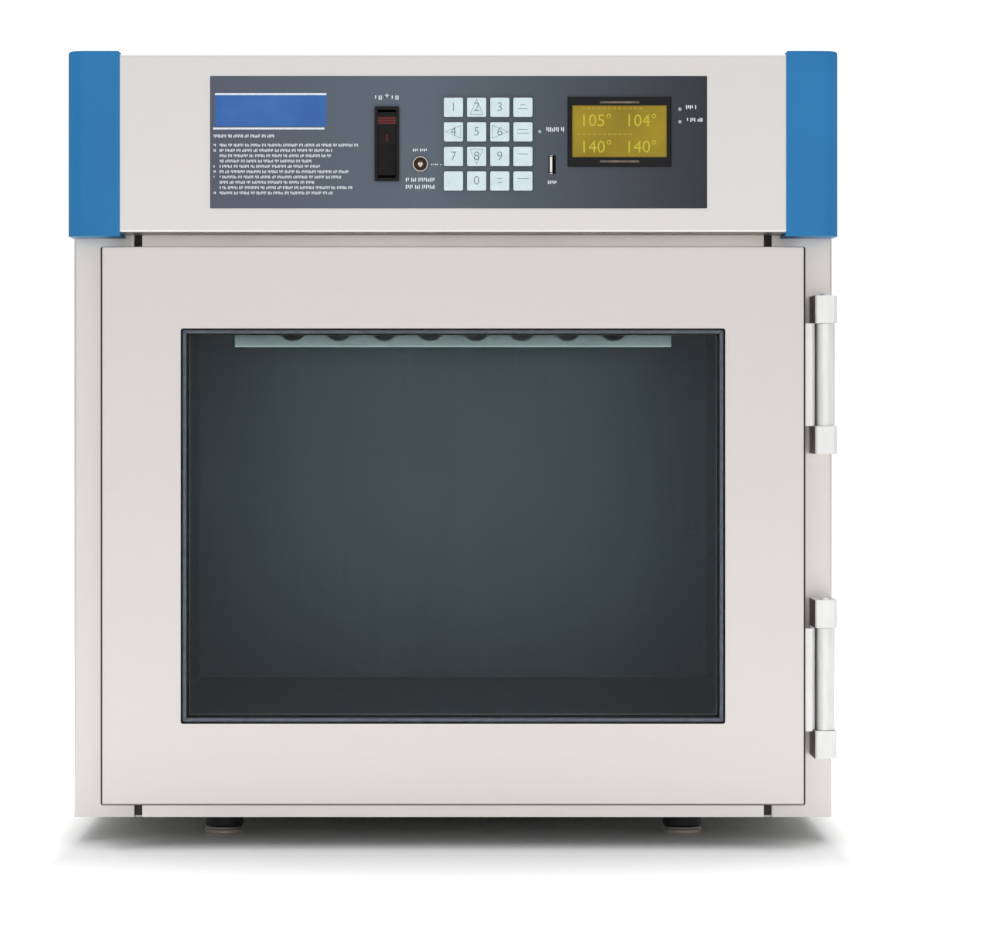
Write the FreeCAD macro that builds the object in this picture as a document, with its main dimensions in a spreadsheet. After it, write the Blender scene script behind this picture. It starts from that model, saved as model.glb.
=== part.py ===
"""A counter-top blanket warming cabinet, built piece by piece as it comes apart on a bench.

Millimetres, +Z up, +Y towards the back. The origin is on the floor under the middle of the
cabinet. The door is hinged on the right, at +X, and the controls face -Y.
"""

import FreeCAD, Part
import math
import operator
import os
from types import SimpleNamespace

import Sketcher

# Each row is one size that can be set by itself: its name in the sheet, its value and what it is.
DIMENSIONS = (
    # overall
    ("cabinet_width", 609.6, "outside width of the steel shell"),
    ("shell_depth", 552, "front of the door to the back panel"),
    ("door_overhang", 48, "front of the door to the face of the front frame"),
    ("foot_height", 20, "floor to the underside of the body"),
    ("body_height", 468, "height of the body under the hood"),
    ("hood_height", 141.1, "height of the control hood"),
    # folded sheet
    ("panel_gauge", 1.2, "steel of the side panels"),
    ("back_gauge", 1, "steel of the back panel"),
    ("liner_gauge", 1, "steel of the chamber liner"),
    ("pan_gauge", 1.5, "steel of the base pan"),
    ("hood_gauge", 1.2, "steel of the hood"),
    ("bend_radius", 2, "outside radius of a folded corner"),
    # front frame
    ("stile_width", 49.3, "width of each side of the front frame"),
    ("stile_lip", 12, "lip folded back behind each stile"),
    ("rear_flange", 20, "flange folded in at the back of each side panel"),
    ("breaker_width", 5.5, "width of the thermal breaker strip"),
    ("breaker_fit", 0.1, "slack on each side of the breaker strip"),
    ("breaker_depth", 7, "front to back of the breaker strip"),
    ("breaker_foot", 10, "reach of the breaker strip behind the liner flange"),
    # base pan and feet
    ("pan_height", 25, "height of the base pan's upstands"),
    ("pan_fit", 0.5, "how much tighter the pan's corners are than the panels' outer bends"),
    ("nut_height", 12, "height of the weld nuts for the feet"),
    ("nut_width", 22, "diameter of the weld nuts"),
    ("foot_side_inset", 116.8, "side of the shell to the middle of a foot"),
    ("foot_setback", 60, "frame face to the front feet"),
    ("foot_rear_inset", 57, "back panel to the rear feet"),
    ("foot_diameter", 32, "diameter of a levelling foot"),
    ("stud_diameter", 10, "diameter of the foot's threaded stud"),
    ("stud_fit", 0.15, "slack round the stud in its nut"),
    ("stud_length", 24, "stud above the top of the foot"),
    ("foot_clearance", 0.3, "foot below the pan when it is fully screwed in"),
    ("glide_height", 5, "height of the polished glide under the foot"),
    ("foot_edge", 1.5, "bevel round the foot"),
    # chamber
    ("chamber_side", 69.8, "side of the shell to the inside of the warming chamber"),
    ("chamber_roof", 33, "inside of the chamber's ceiling to the underside of the hood"),
    ("chamber_rear", 74, "inside of the chamber's back to the back of the shell"),
    ("chamber_rise", 78, "underside of the body to the chamber floor"),
    ("chamber_cove", 4, "inside radius of the chamber's folded corners"),
    ("batt_slack", 0.5, "insulation short of the screws' points, and round what passes through it"),
    # ceiling duct
    ("duct_side", 54, "wall of the chamber to the side of the duct"),
    ("duct_depth", 276, "front to back of the ceiling duct"),
    ("duct_drop", 53, "ceiling to the underside of the duct"),
    ("duct_setback", 90, "frame face to the front of the duct"),
    ("duct_flange", 12, "flange that fixes the duct to the ceiling"),
    ("duct_lip", 3, "lip under the duct's front edge"),
    ("vent_diameter", 25.4, "outlet holes in the duct's front"),
    ("vent_pitch", 38, "distance between outlet holes"),
    ("vent_height", 18, "middle of the outlet holes above the lip"),
    ("intake_diameter", 9, "intake holes under the blower"),
    ("intake_ring", 22, "distance between rings of intake holes"),
    # blower and heater
    ("wheel_diameter", 150, "diameter of the blower wheel"),
    ("wheel_height", 36, "height of the blower wheel"),
    ("wheel_eye", 92, "diameter of the inlet in the wheel's shroud"),
    ("wheel_sheet", 1.5, "thickness of the wheel's plates"),
    ("wheel_drop", 5, "ceiling to the top of the blower wheel"),
    ("blade_thickness", 1.4, "thickness of a blade"),
    ("blade_radius", 42, "curvature of a blade"),
    ("blade_lean", 58, "angle of a blade to the wheel's radius at the eye, in degrees"),
    ("hub_diameter", 24, "hub of the blower wheel"),
    ("shaft_diameter", 8, "blower shaft"),
    ("shaft_fit", 0.1, "slack round the blower shaft"),
    ("shaft_hole", 16, "hole for the shaft in the chamber's ceiling"),
    ("shaft_reach", 30, "shaft inside the motor above the hood floor"),
    ("shaft_end", 2, "space over the end of the shaft"),
    ("motor_diameter", 86, "motor can"),
    ("motor_height", 48, "motor can above the hood floor"),
    ("motor_bevel", 6, "bevel round the top of the motor can"),
    ("motor_neck", 56, "neck of the motor that passes through the insulation"),
    ("motor_flange", 118, "mounting flange of the motor"),
    ("flange_gauge", 2, "thickness of the motor's mounting flange"),
    ("neck_fit", 1, "slack round the neck in the hood floor"),
    ("heater_ring", 206, "middle diameter of the heater's ring"),
    ("heater_tube", 8, "diameter of the heater's tube"),
    ("heater_drop", 24, "ceiling to the middle of the heater's tube"),
    ("heater_opening", 40, "angle between the ends of the heater's ring"),
    ("heater_terminal", 12, "terminals above the chamber's ceiling"),
    ("probe_diameter", 6, "temperature probe"),
    ("probe_length", 34, "probe below the ceiling"),
    ("probe_head", 12, "head of the temperature probe"),
    ("probe_x", 132, "middle of the duct to the probe"),
    ("probe_y", 66, "probe behind the blower's shaft"),
    # hood
    ("hood_flange", 25, "depth of the front panel's folded flanges"),
    ("hood_return", 12, "height of the returns behind the flanges"),
    ("hood_seam", 0.4, "open seam between two hood pieces"),
    ("overrun", 1, "how far a cut runs past an open edge"),
    ("hood_upstand", 14, "height of the hood floor's upstands"),
    ("slot_width", 5, "height of a vent slot in the hood's back"),
    ("slot_length", 60, "length of a vent slot"),
    ("slot_pitch", 14, "distance between vent slots"),
    ("slot_side", 140.8, "side of the shell to the first vent slot"),
    ("slot_rise", 42.3, "underside of the hood to the lowest vent slot"),
    # corner caps
    ("cap_width", 42, "width of a corner cap across the front"),
    ("cap_depth", 46, "depth of a corner cap along the side"),
    ("cap_proud", 0.6, "cap beyond the steel at the front and the side"),
    ("cap_top", 2.8, "cap above the hood"),
    ("cap_sole", 2.8, "cap below the hood"),
    ("cap_wall", 2, "wall of the corner cap"),
    ("cap_round", 14, "radius of the cap's upright corner"),
    ("cap_edge", 2.2, "radius of the cap's top edges"),
    ("cap_tongue", 12, "tongue of the cap behind the steel"),
    ("tongue_gauge", 2.2, "thickness of the cap's tongues"),
    ("tongue_inset", 17, "tongue short of the hood's top and bottom"),
    # control overlay and its controls
    ("overlay_width", 393, "width of the control overlay"),
    ("overlay_head", 17.4, "overlay to the top of the hood"),
    ("overlay_middle", 4.4, "middle of the overlay, right of the cabinet's middle"),
    ("overlay_rise", 19, "underside of the hood to the overlay"),
    ("overlay_gauge", 0.8, "thickness of the overlay"),
    ("overlay_corner", 0.8, "corner radius of the overlay"),
    ("bezel_proud", 1.6, "frames of the controls in front of the overlay"),
    ("bezel_edge", 0.8, "bevel or rounding of a control's frame"),
    ("cutout_fit", 0.3, "slack between a control and its cut-out"),
    ("keypad_x", 27.8, "middle of the keypad"),
    ("keypad_rise", 69.7, "underside of the hood to the middle of the keypad"),
    ("key_width", 15.2, "side of a square key"),
    ("key_pitch_x", 18.3, "distance between keys across"),
    ("key_pitch_z", 19.4, "distance between keys up"),
    ("key_fit", 0.3, "slack round a key in its well"),
    ("key_proud", 2.4, "key in front of the overlay"),
    ("key_stem", 4.8, "key behind the front of the overlay"),
    ("key_travel", 1, "travel of a key"),
    ("key_corner", 1.2, "corner radius of a key"),
    ("key_crown", 0.6, "rounding of a key's face"),
    ("keypad_rim", 1.4, "block of the keypad outside the outermost wells"),
    ("keypad_flange", 1.1, "flange of the keypad beyond its block"),
    ("flange_depth", 2, "thickness of the keypad's flange, behind the front panel"),
    ("keypad_depth", 14, "keypad behind the overlay"),
    ("display_x", 131.6, "middle of the display"),
    ("display_rise", 79.5, "underside of the hood to the middle of the display's frame"),
    ("display_width", 82, "width of the display's frame"),
    ("display_height", 55.3, "height of the display's frame"),
    ("screen_width", 74.6, "width of the display's window"),
    ("screen_height", 41, "height of the display's window"),
    ("screen_rise", 0.4, "window above the middle of the frame"),
    ("screen_recess", 1, "screen behind the front of its frame"),
    ("screen_gauge", 6, "thickness of the screen"),
    ("screen_fit", 0.1, "slack round the screen"),
    ("sleeve_depth", 9, "sleeve of the display's frame behind the overlay"),
    ("sleeve_wall", 1.2, "wall of the display's sleeve"),
    ("rocker_x", -52.2, "middle of the rocker switch"),
    ("rocker_rise", 70, "underside of the hood to the middle of the rocker switch"),
    ("rocker_width", 19.4, "width of the rocker's frame"),
    ("rocker_height", 59, "height of the rocker's frame"),
    ("rocker_wall", 2.4, "edge of the rocker's frame"),
    ("rocker_depth", 24, "rocker's housing behind the overlay"),
    ("rocker_step", 1, "frame wider than the housing behind it"),
    ("paddle_half", 25, "middle to either end of the paddle"),
    ("paddle_fit", 0.3, "slack beside the paddle"),
    ("paddle_recess", 1.2, "pressed end behind the front of the frame"),
    ("paddle_rise", 3.8, "raised end in front of the pressed end"),
    ("paddle_depth", 6, "depth of the paddle's ends"),
    ("paddle_hub", 9, "depth of the paddle's hub"),
    ("trunnion_diameter", 3, "pins that carry the paddle"),
    ("trunnion_length", 0.9, "pin inside the wall of its housing"),
    ("trunnion_depth", 4, "middle of the pins behind the paddle's crease"),
    ("trunnion_fit", 0.05, "slack round the pins"),
    ("lock_x", -25.8, "middle of the key lock"),
    ("lock_rise", 54.1, "underside of the hood to the middle of the key lock"),
    ("lock_ring", 11.8, "ring of the key lock"),
    ("lock_body", 10, "barrel housing of the key lock"),
    ("lock_bore", 7.7, "bore of the key lock"),
    ("lock_nut", 15, "nut behind the panel"),
    ("lock_nut_height", 3, "thickness of the nut"),
    ("lock_depth", 20, "key lock behind the overlay"),
    ("barrel_fit", 0.05, "slack round the turning barrel"),
    ("keyway_width", 1.6, "width of the keyway"),
    ("keyway_height", 5, "height of the keyway"),
    ("keyway_depth", 9, "depth of the keyway"),
    ("lock_cam", 14, "length of the cam behind the lock"),
    ("cam_gauge", 1.5, "thickness of the cam"),
    ("cam_gap", 0.3, "slack in front of the cam"),
    ("port_x", 78.4, "middle of the data port"),
    ("port_rise", 53.6, "underside of the hood to the middle of the data port"),
    ("port_width", 5.2, "width of the data port"),
    ("port_height", 14.2, "height of the data port"),
    ("port_wall", 0.4, "shell of the data port"),
    ("port_depth", 14, "data port behind the overlay"),
    ("port_proud", 0.2, "data port in front of the overlay"),
    ("port_flange", 1.1, "flange of the data port behind the front panel"),
    ("tongue_width", 1.8, "thickness of the port's tongue"),
    ("led_diameter", 3, "indicator lamps"),
    ("led_flange", 3.8, "rim at the back of an indicator lamp"),
    ("led_depth", 5, "indicator lamp behind the overlay"),
    ("led_left_x", 68.5, "lamp beside the port"),
    ("led_left_rise", 79.8, "underside of the hood to the lamp beside the port"),
    ("led_right_x", 179.3, "lamps beside the display"),
    ("led_upper_rise", 97.5, "underside of the hood to the upper lamp beside the display"),
    ("led_lower_rise", 87.5, "underside of the hood to the lower lamp beside the display"),
    # electronics
    ("board_left", -8, "left edge of the control board"),
    ("board_right", 188, "right edge of the control board"),
    ("board_rise", 19.5, "underside of the hood to the bottom edge of the control board"),
    ("board_head", 16.6, "top edge of the control board to the top of the hood"),
    ("board_gauge", 1.6, "thickness of the control board"),
    ("board_gap", 20, "front panel to the control board"),
    ("standoff_diameter", 6, "pillars of the control board"),
    ("standoff_inset", 5, "pillars in from the board's corners"),
    ("inlet_side", 78.8, "side of the shell to the middle of the power inlet"),
    ("inlet_rise", 51.5, "underside of the hood to the middle of the power inlet"),
    ("inlet_width", 27.5, "width of the power inlet's housing"),
    ("inlet_height", 20, "height of the power inlet's housing"),
    ("inlet_depth", 24, "power inlet inside the hood"),
    ("inlet_flange", 3, "thickness of the power inlet's flange"),
    ("inlet_ear", 50, "width of the power inlet's flange"),
    ("inlet_rim", 4, "flange above and below the housing"),
    ("inlet_wall", 2, "wall round the power inlet's pins"),
    ("pin_width", 4, "height of a flat pin"),
    ("pin_gauge", 2, "thickness of a flat pin"),
    ("pin_length", 16, "length of a flat pin"),
    ("pin_spread", 7, "outer pins from the middle one"),
    # door
    ("door_side", 25.8, "side of the shell to the edge of the door"),
    ("door_head", 11.1, "top of the door to the underside of the hood"),
    ("door_rise", 14.7, "underside of the body to the bottom of the door"),
    ("door_gauge", 1.2, "steel of the door"),
    ("skin_depth", 39, "depth of the door's outer skin"),
    ("door_edge", 2.2, "rounded front edge of the door"),
    ("pan_depth", 11, "depth of the inner pan"),
    ("pan_proud", 1, "inner pan behind the edge of the skin"),
    ("window_side", 63.6, "edge of the door to the window at each side"),
    ("window_head", 64.7, "top of the window to the top of the door"),
    ("window_rise", 64.7, "bottom of the door to the bottom of the window"),
    ("window_corner", 2, "corner radius of the window"),
    ("glass_gauge", 4, "thickness of a pane"),
    ("glass_lap", 9, "glass behind the edge of the window"),
    ("spacer_depth", 12, "space between the panes"),
    ("spacer_bed", 0.15, "sealant between the spacer and each pane"),
    ("spacer_sight", 4, "spacer that shows inside the window's edge"),
    ("spacer_lap", 4, "spacer behind the window's edge"),
    ("gasket_sight", 0.8, "black gasket that shows inside the spacer"),
    ("gasket_depth", 3.6, "gasket between the glass and the inner pan"),
    ("seal_width", 14, "width of the magnetic door seal"),
    ("seal_inset", 8, "seal in from the edge of the door"),
    ("seal_clearance", 0.3, "seal in front of the frame when the door is shut"),
    ("seal_groove", 3, "groove round the seal"),
    # hinges
    ("hinge_height", 125.8, "height of a hinge"),
    ("hinge_rise", 36.2, "bottom of the door to the lower hinge"),
    ("hinge_head", 38.4, "top of the upper hinge to the top of the door"),
    ("hinge_axis_inset", 9, "hinge axis in from the cabinet's side"),
    ("hinge_axis_reach", 30, "hinge axis in front of the frame face"),
    ("block_height", 22, "height of a frame block"),
    ("block_width", 18, "width of a frame block"),
    ("block_edge", 3, "rounded front edges of a frame block"),
    ("knuckle_diameter", 16, "door knuckle"),
    ("knuckle_gap", 0.3, "slack between the knuckle and each block"),
    ("leaf_gauge", 3, "base plate on the frame"),
    ("door_leaf_gauge", 5.5, "plate on the door's edge"),
    ("door_leaf_depth", 28, "plate along the door's edge"),
    ("web_gauge", 7, "web between the plate and the knuckle"),
    ("pin_diameter", 6, "hinge pin"),
    ("pin_fit", 0.05, "slack round the hinge pin in the knuckle"),
    ("pin_press", 0.01, "slack round the hinge pin in its blocks"),
    ("pin_head", 9.5, "head of the hinge pin"),
    ("pin_head_height", 1.6, "height of the pin's head"),
    # screws
    ("screw_diameter", 4, "shank of a screw"),
    ("screw_head", 7.6, "head of a screw"),
    ("screw_head_height", 2, "height of a screw's head"),
    ("screw_length", 4, "shank of a screw behind its head"),
    ("screw_inset", 9, "screws in from the edge of a panel"),
    ("screw_fit", 0.02, "slack round a screw in its hole"),
    ("recess_span", 4, "arms of the cross recess in a screw's head"),
    ("recess_width", 1.1, "width of an arm of the recess"),
    ("recess_depth", 1.2, "depth of the recess"),
    ("hood_screw_inset", 30.4, "side of the hood to its first rear screw"),
)

# How many there are of what repeats.
COUNTS = {
    "vents": 8, "blades": 12, "intake_rings": 3, "keys_each_way": 4, "slot_rows": 5, "slot_columns": 3,
    "panel_screws": 4, "hood_screws": 4,
}

# Parts on the control board: name, left edge and bottom edge from the board's corner, width,
# height and thickness.
BOARD_PARTS = (
    ("relay", 14, 29, 28, 14, 14),
    ("transformer", 136, 50, 35, 28, 21),
    ("processor", 73, 39, 21, 21, 2.4),
    ("sockets", 112, 18, 56, 7, 7),
)

AXES = {
    "x": FreeCAD.Vector(1, 0, 0),
    "y": FreeCAD.Vector(0, 1, 0),
    "z": FreeCAD.Vector(0, 0, 1),
}
PLANES = {"x": "YZ_Plane", "y": "XZ_Plane", "z": "XY_Plane"}
OPERATIONS = {"+": operator.add, "-": operator.sub, "*": operator.mul, "/": operator.truediv}
POINTS = ("edge", "start", "end", "centre")  # in the order in which a sketch numbers them
CLOSE = 0.01  # two places nearer than this are the same place


class Size:
    """A length or an angle, with the sheet expression that gives it."""

    def __init__(self, value, text):
        self.value = value
        self.text = text

    def __add__(self, other):
        return combine(self, "+", other)

    def __radd__(self, other):
        return combine(other, "+", self)

    def __sub__(self, other):
        return combine(self, "-", other)

    def __rsub__(self, other):
        return combine(other, "-", self)

    def __mul__(self, other):
        return combine(self, "*", other)

    def __rmul__(self, other):
        return combine(other, "*", self)

    def __truediv__(self, other):
        return combine(self, "/", other)

    def __neg__(self):
        return combine(0, "-", self)


def as_size(number):
    return number if isinstance(number, Size) else Size(number, str(number))


def combine(left, sign, right):
    left, right = as_size(left), as_size(right)
    return Size(OPERATIONS[sign](left.value, right.value), f"({left.text} {sign} {right.text})")


doc = FreeCAD.newDocument("warming_cabinet")
sheet = doc.addObject("Spreadsheet::Sheet", "dims")
size = SimpleNamespace()
for row, (alias, value, meaning) in enumerate(DIMENSIONS, 1):
    sheet.set(f"A{row}", meaning)
    sheet.set(f"B{row}", str(value))
    sheet.setAlias(f"B{row}", alias)
    setattr(size, alias, Size(value, f"dims.{alias}"))
doc.recompute()

pieces = []


# ---------------------------------------------------------------- drawing

def rectangle(u0, v0, u1, v1):
    return [(u0, v0), (u1, v0), (u1, v1), (u0, v1)]


def centred(u, v, width, height):
    """A rectangle round its middle."""
    return rectangle(u - width / 2, v - height / 2, u + width / 2, v + height / 2)


class Circle:
    def __init__(self, u, v, diameter):
        self.u, self.v, self.diameter = as_size(u), as_size(v), diameter


def fold(path, gauge, side=1):
    """The closed section of a sheet folded at right angles, with its thickness to one side."""
    normals = []
    for (u0, v0), (u1, v1) in zip(path, path[1:]):
        run_u, run_v = u1.value - u0.value, v1.value - v0.value
        run = math.hypot(run_u, run_v)
        normals.append((-side * round(run_v / run), side * round(run_u / run)))
    inner = []
    for index, (u, v) in enumerate(path):
        touching = normals[max(index - 1, 0):index + 1]
        if len(touching) == 2:
            shift_u, shift_v = touching[0][0] + touching[1][0], touching[0][1] + touching[1][1]
        else:
            shift_u, shift_v = touching[0]
        inner.append((u + gauge * shift_u, v + gauge * shift_v))
    return list(path) + inner[::-1]


def new_body(label):
    """An empty body, whose label is the name of its piece."""
    body = doc.addObject("PartDesign::Body", label)
    body.Label = label
    pieces.append(body)
    return body


def origin_feature(body, role):
    return next(item for item in body.Origin.OriginFeatures if item.Role == role)


def pin_point(sketch, edge, point, place, tag):
    """Ties one point of a sketch to its place from the origin."""
    for kind, distance in zip(("DistanceX", "DistanceY"), place):
        constraint = Sketcher.Constraint(kind, edge, POINTS.index(point), distance.value)
        name = f"{tag}_{kind[-1].lower()}"
        sketch.renameConstraint(sketch.addConstraint(constraint), name)
        sketch.setExpression(f"Constraints.{name}", distance.text)


def draw(sketch, outlines):
    """Draws closed outlines, each a Circle or a list of corners, tied to the sheet."""
    for number, outline in enumerate(outlines):
        tag = f"outline{number}"
        if isinstance(outline, Circle):
            middle = FreeCAD.Vector(outline.u.value, outline.v.value, 0)
            radius = outline.diameter / 2
            edge = sketch.addGeometry(Part.Circle(middle, AXES["z"], radius.value), False)
            pin_point(sketch, edge, "centre", (outline.u, outline.v), tag)
            constraint = Sketcher.Constraint("Radius", edge, radius.value)
            sketch.renameConstraint(sketch.addConstraint(constraint), f"{tag}_radius")
            sketch.setExpression(f"Constraints.{tag}_radius", radius.text)
            continue
        corners = [(as_size(u), as_size(v)) for u, v in outline]
        points = [FreeCAD.Vector(u.value, v.value, 0) for u, v in corners]
        lines = [Part.LineSegment(a, b) for a, b in zip(points, points[1:] + points[:1])]
        edges = list(sketch.addGeometry(lines, False))
        joins = zip(edges, edges[1:] + edges[:1])
        for ending, starting in joins:
            ends = (ending, POINTS.index("end"), starting, POINTS.index("start"))
            sketch.addConstraint(Sketcher.Constraint("Coincident", *ends))
        for index, (edge, corner) in enumerate(zip(edges, corners)):
            pin_point(sketch, edge, "start", corner, f"{tag}_{index}")


def new_sketch(body, name, axis, place):
    """A sketch on the plane across an axis, at a place along it."""
    sketch = body.newObject("Sketcher::SketchObject", name)
    sketch.AttachmentSupport = [(origin_feature(body, PLANES[axis]), "")]
    sketch.MapMode = "FlatFace"
    offset = -place if axis == "y" else place + 0
    sketch.setExpression("AttachmentOffset.Base.z", offset.text)
    return sketch


def add(body, name, axis, start, end, outlines):
    """Adds material between two places along an axis."""
    start, end = as_size(start), as_size(end)
    sketch = new_sketch(body, f"{name}_sketch", axis, end if axis == "y" else start)
    draw(sketch, outlines)
    feature = body.newObject("PartDesign::Pad", name)
    feature.Profile = sketch
    feature.setExpression("Length", (end - start).text)
    return feature


def cut(body, name, axis, start, end, outlines):
    """Cuts material away between two places along an axis, and checks that something went."""
    start, end = as_size(start), as_size(end)
    doc.recompute()
    volume = body.Shape.Volume
    sketch = new_sketch(body, f"{name}_sketch", axis, start if axis == "y" else end)
    draw(sketch, outlines)
    feature = body.newObject("PartDesign::Pocket", name)
    feature.Profile = sketch
    feature.setExpression("Length", (end - start).text)
    doc.recompute()
    if body.Shape.Volume >= volume:
        raise RuntimeError(f"{body.Label}: {name} cuts nothing")
    return feature


def turn(body, name, profile):
    """A body of revolution about the Z axis, from corners given as radius and height."""
    sketch = new_sketch(body, f"{name}_sketch", "y", as_size(0))
    draw(sketch, [profile])
    feature = body.newObject("PartDesign::Revolution", name)
    feature.Profile = sketch
    feature.ReferenceAxis = (sketch, ["V_Axis"])
    feature.Angle = 360
    return feature


def is_near(edge, place):
    """Whether the middle of an edge is at the place given for some of x, y and z."""
    middle = edge.CenterOfMass
    return all(abs(getattr(middle, axis) - as_size(at).value) < CLOSE for axis, at in place.items())


def runs_along(edge, axis):
    if edge.Degenerated or not isinstance(edge.Curve, Part.Line):
        return False
    return abs(edge.tangentAt(edge.FirstParameter).dot(AXES[axis])) > 1 - CLOSE


def dress(body, kind, name, amount, test):
    """A fillet or chamfer on the edges that pass a test."""
    doc.recompute()
    base = body.Tip
    names = [f"Edge{number}" for number, edge in enumerate(base.Shape.Edges, 1) if test(edge)]
    if not names:
        raise RuntimeError(f"{body.Label}: {name} finds no edge")
    feature = body.newObject(f"PartDesign::{kind}", name)
    feature.Base = (base, names)
    feature.setExpression("Radius" if kind == "Fillet" else "Size", amount.text)
    return feature


def round_along(body, name, axis, radius, places):
    """Fillets the edges that run along an axis at any of the places."""
    return dress(body, "Fillet", name, radius, lambda edge: runs_along(edge, axis)
                 and any(is_near(edge, place) for place in places))


def round_rim(body, name, radius, place, kind="Fillet"):
    """Fillets or chamfers every edge that lies in the plane that the place gives."""
    return dress(body, kind, name, radius, lambda edge: is_near(edge, place)
                 and all(is_near_point(vertex.Point, place) for vertex in edge.Vertexes))


def is_near_point(point, place):
    return all(abs(getattr(point, axis) - as_size(at).value) < CLOSE for axis, at in place.items())


def bend(body, name, axis, corners, radius):
    """Rounds folded corners, given in the two coordinates across the fold."""
    across = [letter for letter in "xyz" if letter != axis]
    places = [dict(zip(across, corner)) for corner in corners]
    return round_along(body, name, axis, radius, places)


def repeat(body, name, feature, direction, length, count):
    """A straight row of copies of a feature."""
    pattern = body.newObject("PartDesign::LinearPattern", name)
    pattern.Originals = [feature]
    pattern.Direction = (origin_feature(body, direction), [""])
    pattern.setExpression("Length", length.text)
    pattern.Occurrences = count
    body.Tip = pattern
    return pattern


def ring(body, name, feature, count):
    """A full circle of copies of a feature round the body's own Z axis."""
    pattern = body.newObject("PartDesign::PolarPattern", name)
    pattern.Originals = [feature]
    pattern.Axis = (origin_feature(body, "Z_Axis"), [""])
    pattern.Angle = 360
    pattern.Occurrences = count
    body.Tip = pattern
    return pattern


def place_at(body, x=0, y=0, z=0):
    """Puts a piece that is modelled round its own origin where it belongs."""
    for axis, distance in (("x", x), ("y", y), ("z", z)):
        body.setExpression(f"Placement.Base.{axis}", as_size(distance).text)


def hole_for(place, diameter):
    """A hole for a screw, a tube or a stem, with a screw's slack."""
    return Circle(*place, diameter + 2 * size.screw_fit)


def solid_box(name, x, y, z):
    """A plain block between two places along each axis."""
    box = doc.addObject("Part::Box", name)
    for prop, (low, high) in zip(("Length", "Width", "Height"), (x, y, z)):
        box.setExpression(prop, (high - low).text)
    place_at(box, x[0], y[0], z[0])
    return box


def group(label, members):
    """One node that holds several separate solids."""
    compound = doc.addObject("Part::Compound", label)
    compound.Label = label
    compound.Links = members
    pieces.append(compound)
    return compound


# ---------------------------------------------------------------- places that pieces share

half_width = size.cabinet_width / 2
control_reach = size.overlay_gauge + size.bezel_proud - size.paddle_recess + size.paddle_rise
front_y = (control_reach - size.inlet_flange - size.shell_depth) / 2
frame_y = front_y + size.door_overhang
back_y = front_y + size.shell_depth
base_z = size.foot_height
body_top = base_z + size.body_height
hood_top = body_top + size.hood_height

stile_x = half_width - size.stile_width
flange_x = stile_x - size.breaker_width
rear_inner_y = back_y - size.back_gauge
wall_x = half_width - size.panel_gauge
pan_front_y = frame_y + size.panel_gauge
pan_back_y = rear_inner_y - size.panel_gauge

chamber_x = half_width - size.chamber_side
chamber_floor = base_z + size.chamber_rise
chamber_top = body_top - size.chamber_roof
chamber_back = back_y - size.chamber_rear
liner_x = chamber_x + size.liner_gauge
liner_bottom = chamber_floor - size.liner_gauge
liner_top = chamber_top + size.liner_gauge
liner_back = chamber_back + size.liner_gauge

duct_front = frame_y + size.duct_setback
duct_back = duct_front + size.duct_depth
duct_x = chamber_x - size.duct_side
duct_bottom = chamber_top - size.duct_drop
blower_y = duct_front + size.duct_depth / 2

hood_inner_x = half_width - size.hood_gauge
hood_floor = body_top + size.hood_gauge
hood_inner_top = hood_top - size.hood_gauge
flange_y = front_y + size.hood_flange
cap_inner_x = half_width + size.cap_proud - size.cap_width
cap_back_y = front_y - size.cap_proud + size.cap_depth

overlay_y = front_y - size.overlay_gauge
panel_back = front_y + size.hood_gauge
bezel_y = overlay_y - size.bezel_proud
overlay_bottom = body_top + size.overlay_rise
overlay_top = hood_top - size.overlay_head
overlay_left = size.overlay_middle - size.overlay_width / 2
overlay_right = size.overlay_middle + size.overlay_width / 2
keypad = (size.keypad_x, body_top + size.keypad_rise)
display = (size.display_x, body_top + size.display_rise)
screen = (size.display_x, body_top + size.display_rise + size.screen_rise)
rocker = (size.rocker_x, body_top + size.rocker_rise)
lock = (size.lock_x, body_top + size.lock_rise)
port = (size.port_x, body_top + size.port_rise)
inlet = (half_width - size.inlet_side, body_top + size.inlet_rise)

door_x = half_width - size.door_side
door_bottom = base_z + size.door_rise
door_top = body_top - size.door_head
skin_back = front_y + size.skin_depth
pan_back = skin_back + size.pan_proud
window_x = door_x - size.window_side
window_bottom = door_bottom + size.window_rise
window_top = door_top - size.window_head
outer_glass = front_y + size.door_gauge
inner_glass = outer_glass + size.glass_gauge + size.spacer_depth
glass_back = inner_glass + size.glass_gauge

hinge_x = half_width - size.hinge_axis_inset
hinge_y = frame_y - size.hinge_axis_reach
hinge_bottoms = (door_bottom + size.hinge_rise, door_top - size.hinge_head - size.hinge_height)


# ---------------------------------------------------------------- body

def make_side_panel(label, side):
    """A side wall with the front stile, its lip and the rear flange folded from one sheet."""
    body = new_body(label)
    inner_bend = size.bend_radius - size.panel_gauge
    path = [
        (side * stile_x, frame_y + size.stile_lip),
        (side * stile_x, frame_y),
        (side * half_width, frame_y),
        (side * half_width, rear_inner_y),
        (side * (half_width - size.rear_flange), rear_inner_y),
    ]
    add(body, "folded_sheet", "z", base_z, body_top, [fold(path, size.panel_gauge, side)])
    bend(body, "outer_bends", "z", path[1:-1], size.bend_radius)
    gauge = size.panel_gauge
    inner_corners = [
        (side * (stile_x + gauge), frame_y + gauge),
        (side * (half_width - gauge), frame_y + gauge),
        (side * (half_width - gauge), rear_inner_y - gauge),
    ]
    bend(body, "inner_bends", "z", inner_corners, inner_bend)
    cut(body, "lip_notch", "z", base_z, base_z + size.pan_gauge, [
        rectangle(side * (stile_x - size.overrun), frame_y + gauge, side * (stile_x + size.bend_radius),
                  frame_y + size.stile_lip)])
    cut(body, "screw_holes", "y", rear_inner_y - gauge, rear_inner_y,
        [hole_for(place, size.screw_diameter) for place in back_screws() if place[0].value * side > 0])


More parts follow.
